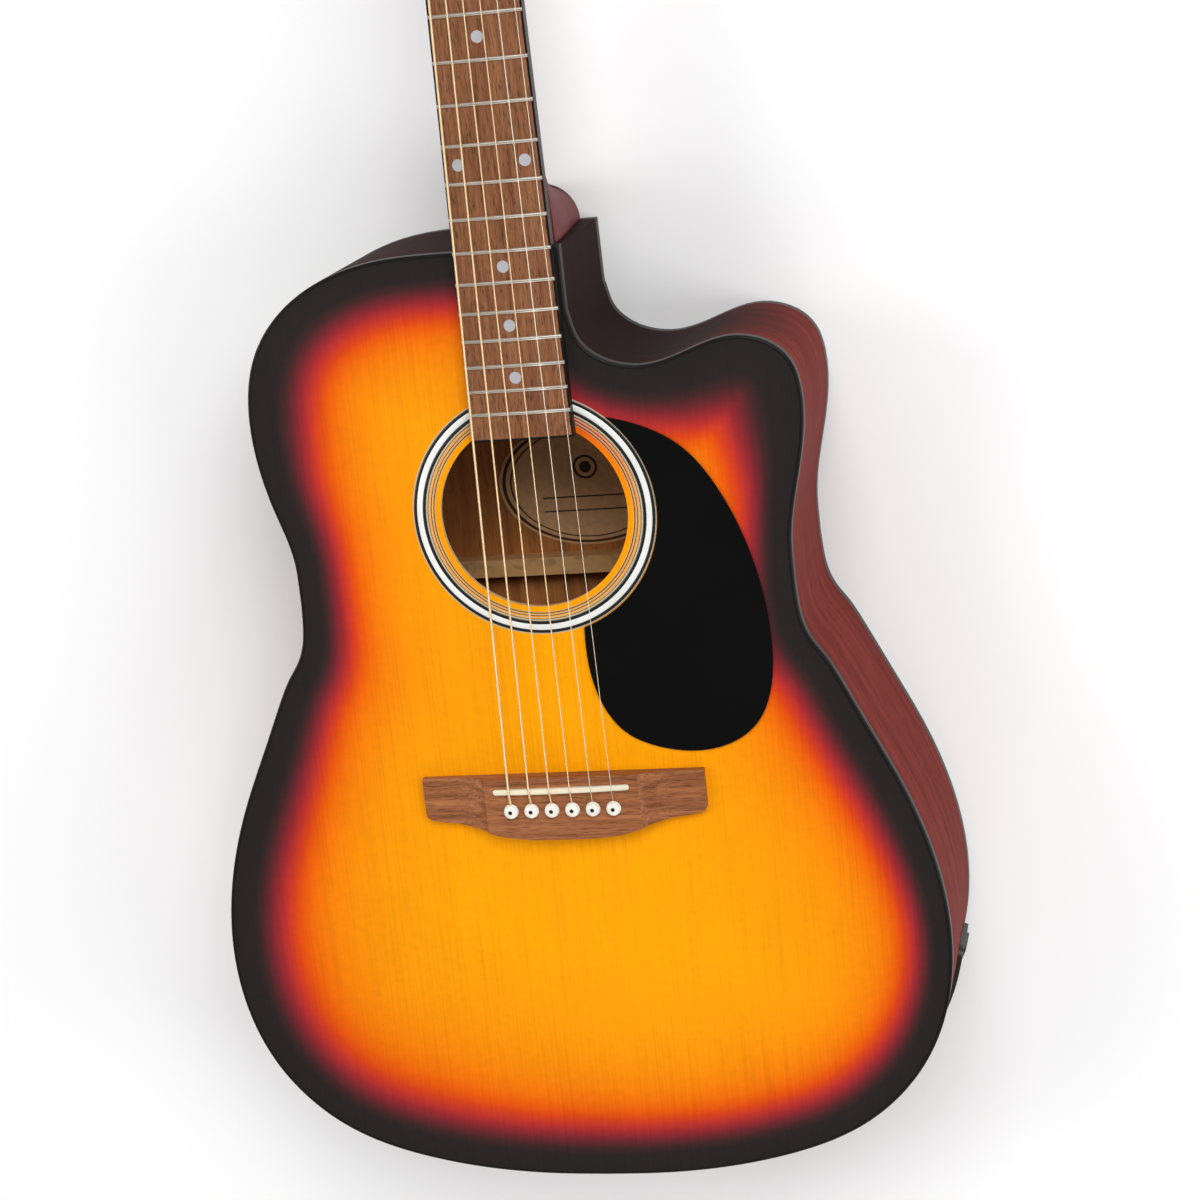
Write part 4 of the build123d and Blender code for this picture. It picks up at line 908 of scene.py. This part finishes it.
def strings(name, numbers, material, node):
    """Some of the strings as one piece, each with its ball."""
    bm = bmesh.new()
    for number in numbers:
        points, radii = string_run(number)
        tube(bm, points, radii, sides=12)
        lathe(bm, points[0] - Vector((ball_long / 2, 0, 0)), (1, 0, 0), ball_profile, sides=16)
    return finished(name, bm, material, replaces=[node])


strings("bronze_wound_strings", range(wound_count), bronze, "wound_strings")
plain_numbers = range(wound_count, len(string_radii))
strings("bare_steel_strings", plain_numbers, steel_wire, "plain_strings")

# ---------------------------------------------------------------- neck, fingerboard and headstock
softened("neck", 0.5, stained_neck, sharp=40)
softened("headstock_veneer", 0.5, veneer_black)
softened("fingerboard", 0.0, board_walnut)
softened("fingerboard_sides", 0.3, black_edge)
softened("frets", 0.6, fret_metal)
softened("nut", 0.2, bone)
repaint("position_dots", pearl)

# ---------------------------------------------------------------- tuning machines
string_count = len(string_radii)
for number in range(1, string_count + 1):
    softened(f"tuner_post_{number}", 0.0, chrome, body=f"post_{number}")
    softened(f"tuner_button_{number}", 0.7, chrome, body=f"button_{number}", segments=3)
softened("tuner_housings", 0.3, chrome)
softened("tuner_bushings", 0.25, chrome)
softened("tuner_screws", 0.2, chrome)
softened("strap_button", 0.2, chrome)
softened("truss_rod_nut", 0.2, dark_steel, body="truss_nut")

# ---------------------------------------------------------------- electrics
softened("preamp_panel", 0.5, moulding)
softened("jack_plate", 0.5, moulding)
softened("output_jack", 0.2, chrome)
softened("battery_drawer", 0.4, moulding, body="drawer")
softened("tuner_key", 0.5, moulding, body="key")


def turning_knob(node, body):
    """A fluted control knob with a white pointer line, on the axis of its joint."""
    turn = joint[f"{body}_turn"]
    place = Vector(turn["pos_m"])
    axis = Vector(turn["axis"]).normalized()
    flutes, flute_deep = 16, 0.3
    base, top = 3.5, 11.5

    def fluted(radius, height, angle):
        if base + 0.6 < height < top - 0.6 and radius > 5:
            return (radius - flute_deep * (0.5 - 0.5 * cos(flutes * angle))) * MM
        return radius * MM

    profile = [(3.0, -8.0), (3.0, base), (5.9, base), (6.0, base + 0.5), (5.95, base + 0.9), (5.6, top - 1.2),
               (5.55, top - 0.6), (5.2, top - 0.1), (4.6, top), (1.0, top)]
    bm = bmesh.new()
    lathe(bm, place, axis, [(r, h * MM) for r, h in profile], sides=flutes * 8, ripple=fluted)
    level = axis.cross(Vector((0, 0, 1))).normalized()
    upright = level.cross(axis)
    line = bmesh.ops.create_cube(bm, size=1.0)["verts"]
    bmesh.ops.scale(bm, vec=(0.7 * MM, 3.6 * MM, 0.35 * MM), verts=line)
    pointing = Matrix((level, upright, axis)).transposed().to_4x4()
    lift = Matrix.Translation(place + axis * top * MM + upright * 2.9 * MM)
    bmesh.ops.transform(bm, matrix=lift @ pointing, verts=line)
    for face in bm.faces:
        if all(vertex in set(line) for vertex in face.verts):
            face.material_index = 1
    finished(f"{body}_control", bm, [moulding, pin_white], body, [node], drawn=False)


for name in ("volume", "bass", "treble"):
    turning_knob(f"{name}_knob", name)

# ---------------------------------------------------------------- floor, light and camera
scene = bpy.context.scene
scene.view_settings.view_transform = "Standard"

floor_wide = 14
below_back = 0.0002
bpy.ops.mesh.primitive_plane_add(size=floor_wide, location=(0, 0, -below_back))
floor = bpy.context.object
floor.name = "floor"
floor_paint = Shader("pale_floor", roughness=0.9, Specular_IOR_Level=0.1)
floor_paint.colour(srgb(246, 246, 246))
floor.data.materials.append(floor_paint.material)

world = bpy.data.worlds.new("studio")
world.use_nodes = True
world.node_tree.nodes["Background"].inputs["Color"].default_value = (1.0, 1.0, 1.0, 1.0)
world.node_tree.nodes["Background"].inputs["Strength"].default_value = 0.30
scene.world = world


def softbox(name, place, aim, width, height, watts):
    """A large rectangular lamp that faces a point."""
    data = bpy.data.lights.new(name, "AREA")
    data.shape = "RECTANGLE"
    data.size, data.size_y = width, height
    data.energy = watts
    lamp = bpy.data.objects.new(name, data)
    lamp.location = place
    lamp.rotation_mode = "QUATERNION"
    lamp.rotation_quaternion = (Vector(aim) - Vector(place)).to_track_quat("-Z", "Y")
    scene.collection.objects.link(lamp)


middle = (0.0, -0.2, 0.08)
softbox("key", (0.7, 1.7, 2.3), middle, 2.2, 1.6, 62)
softbox("left", (-2.3, 0.3, 1.5), middle, 1.2, 2.4, 30)
softbox("right", (2.2, -0.5, 1.1), middle, 1.0, 2.4, 26)
softbox("low", (0.3, -2.6, 1.3), middle, 2.2, 1.0, 20)

camera_at = Vector((353.7, -166.2, 1399.7))
aim_at = Vector((30.3, -543.7, 0))
roll = radians(-6.14)
lens_mm = 85.2


def set_camera():
    """The camera in the drawing frame: it looks down on the body, rolled a little about its own axis."""
    forward = (aim_at - camera_at).normalized()
    level = forward.cross(Vector((0, 1, 0))).normalized()
    above = level.cross(forward)
    right = level * cos(roll) + above * sin(roll)
    up = right.cross(forward)
    pointing = (turned @ Matrix((right, up, -forward)).transposed()).to_4x4()
    data = bpy.data.cameras.new("camera")
    data.lens = lens_mm
    data.sensor_width = 36.0
    data.clip_start, data.clip_end = 0.05, 50.0
    view = bpy.data.objects.new("camera", data)
    view.matrix_world = Matrix.Translation(LAID @ camera_at) @ pointing
    scene.collection.objects.link(view)
    scene.camera = view


set_camera()
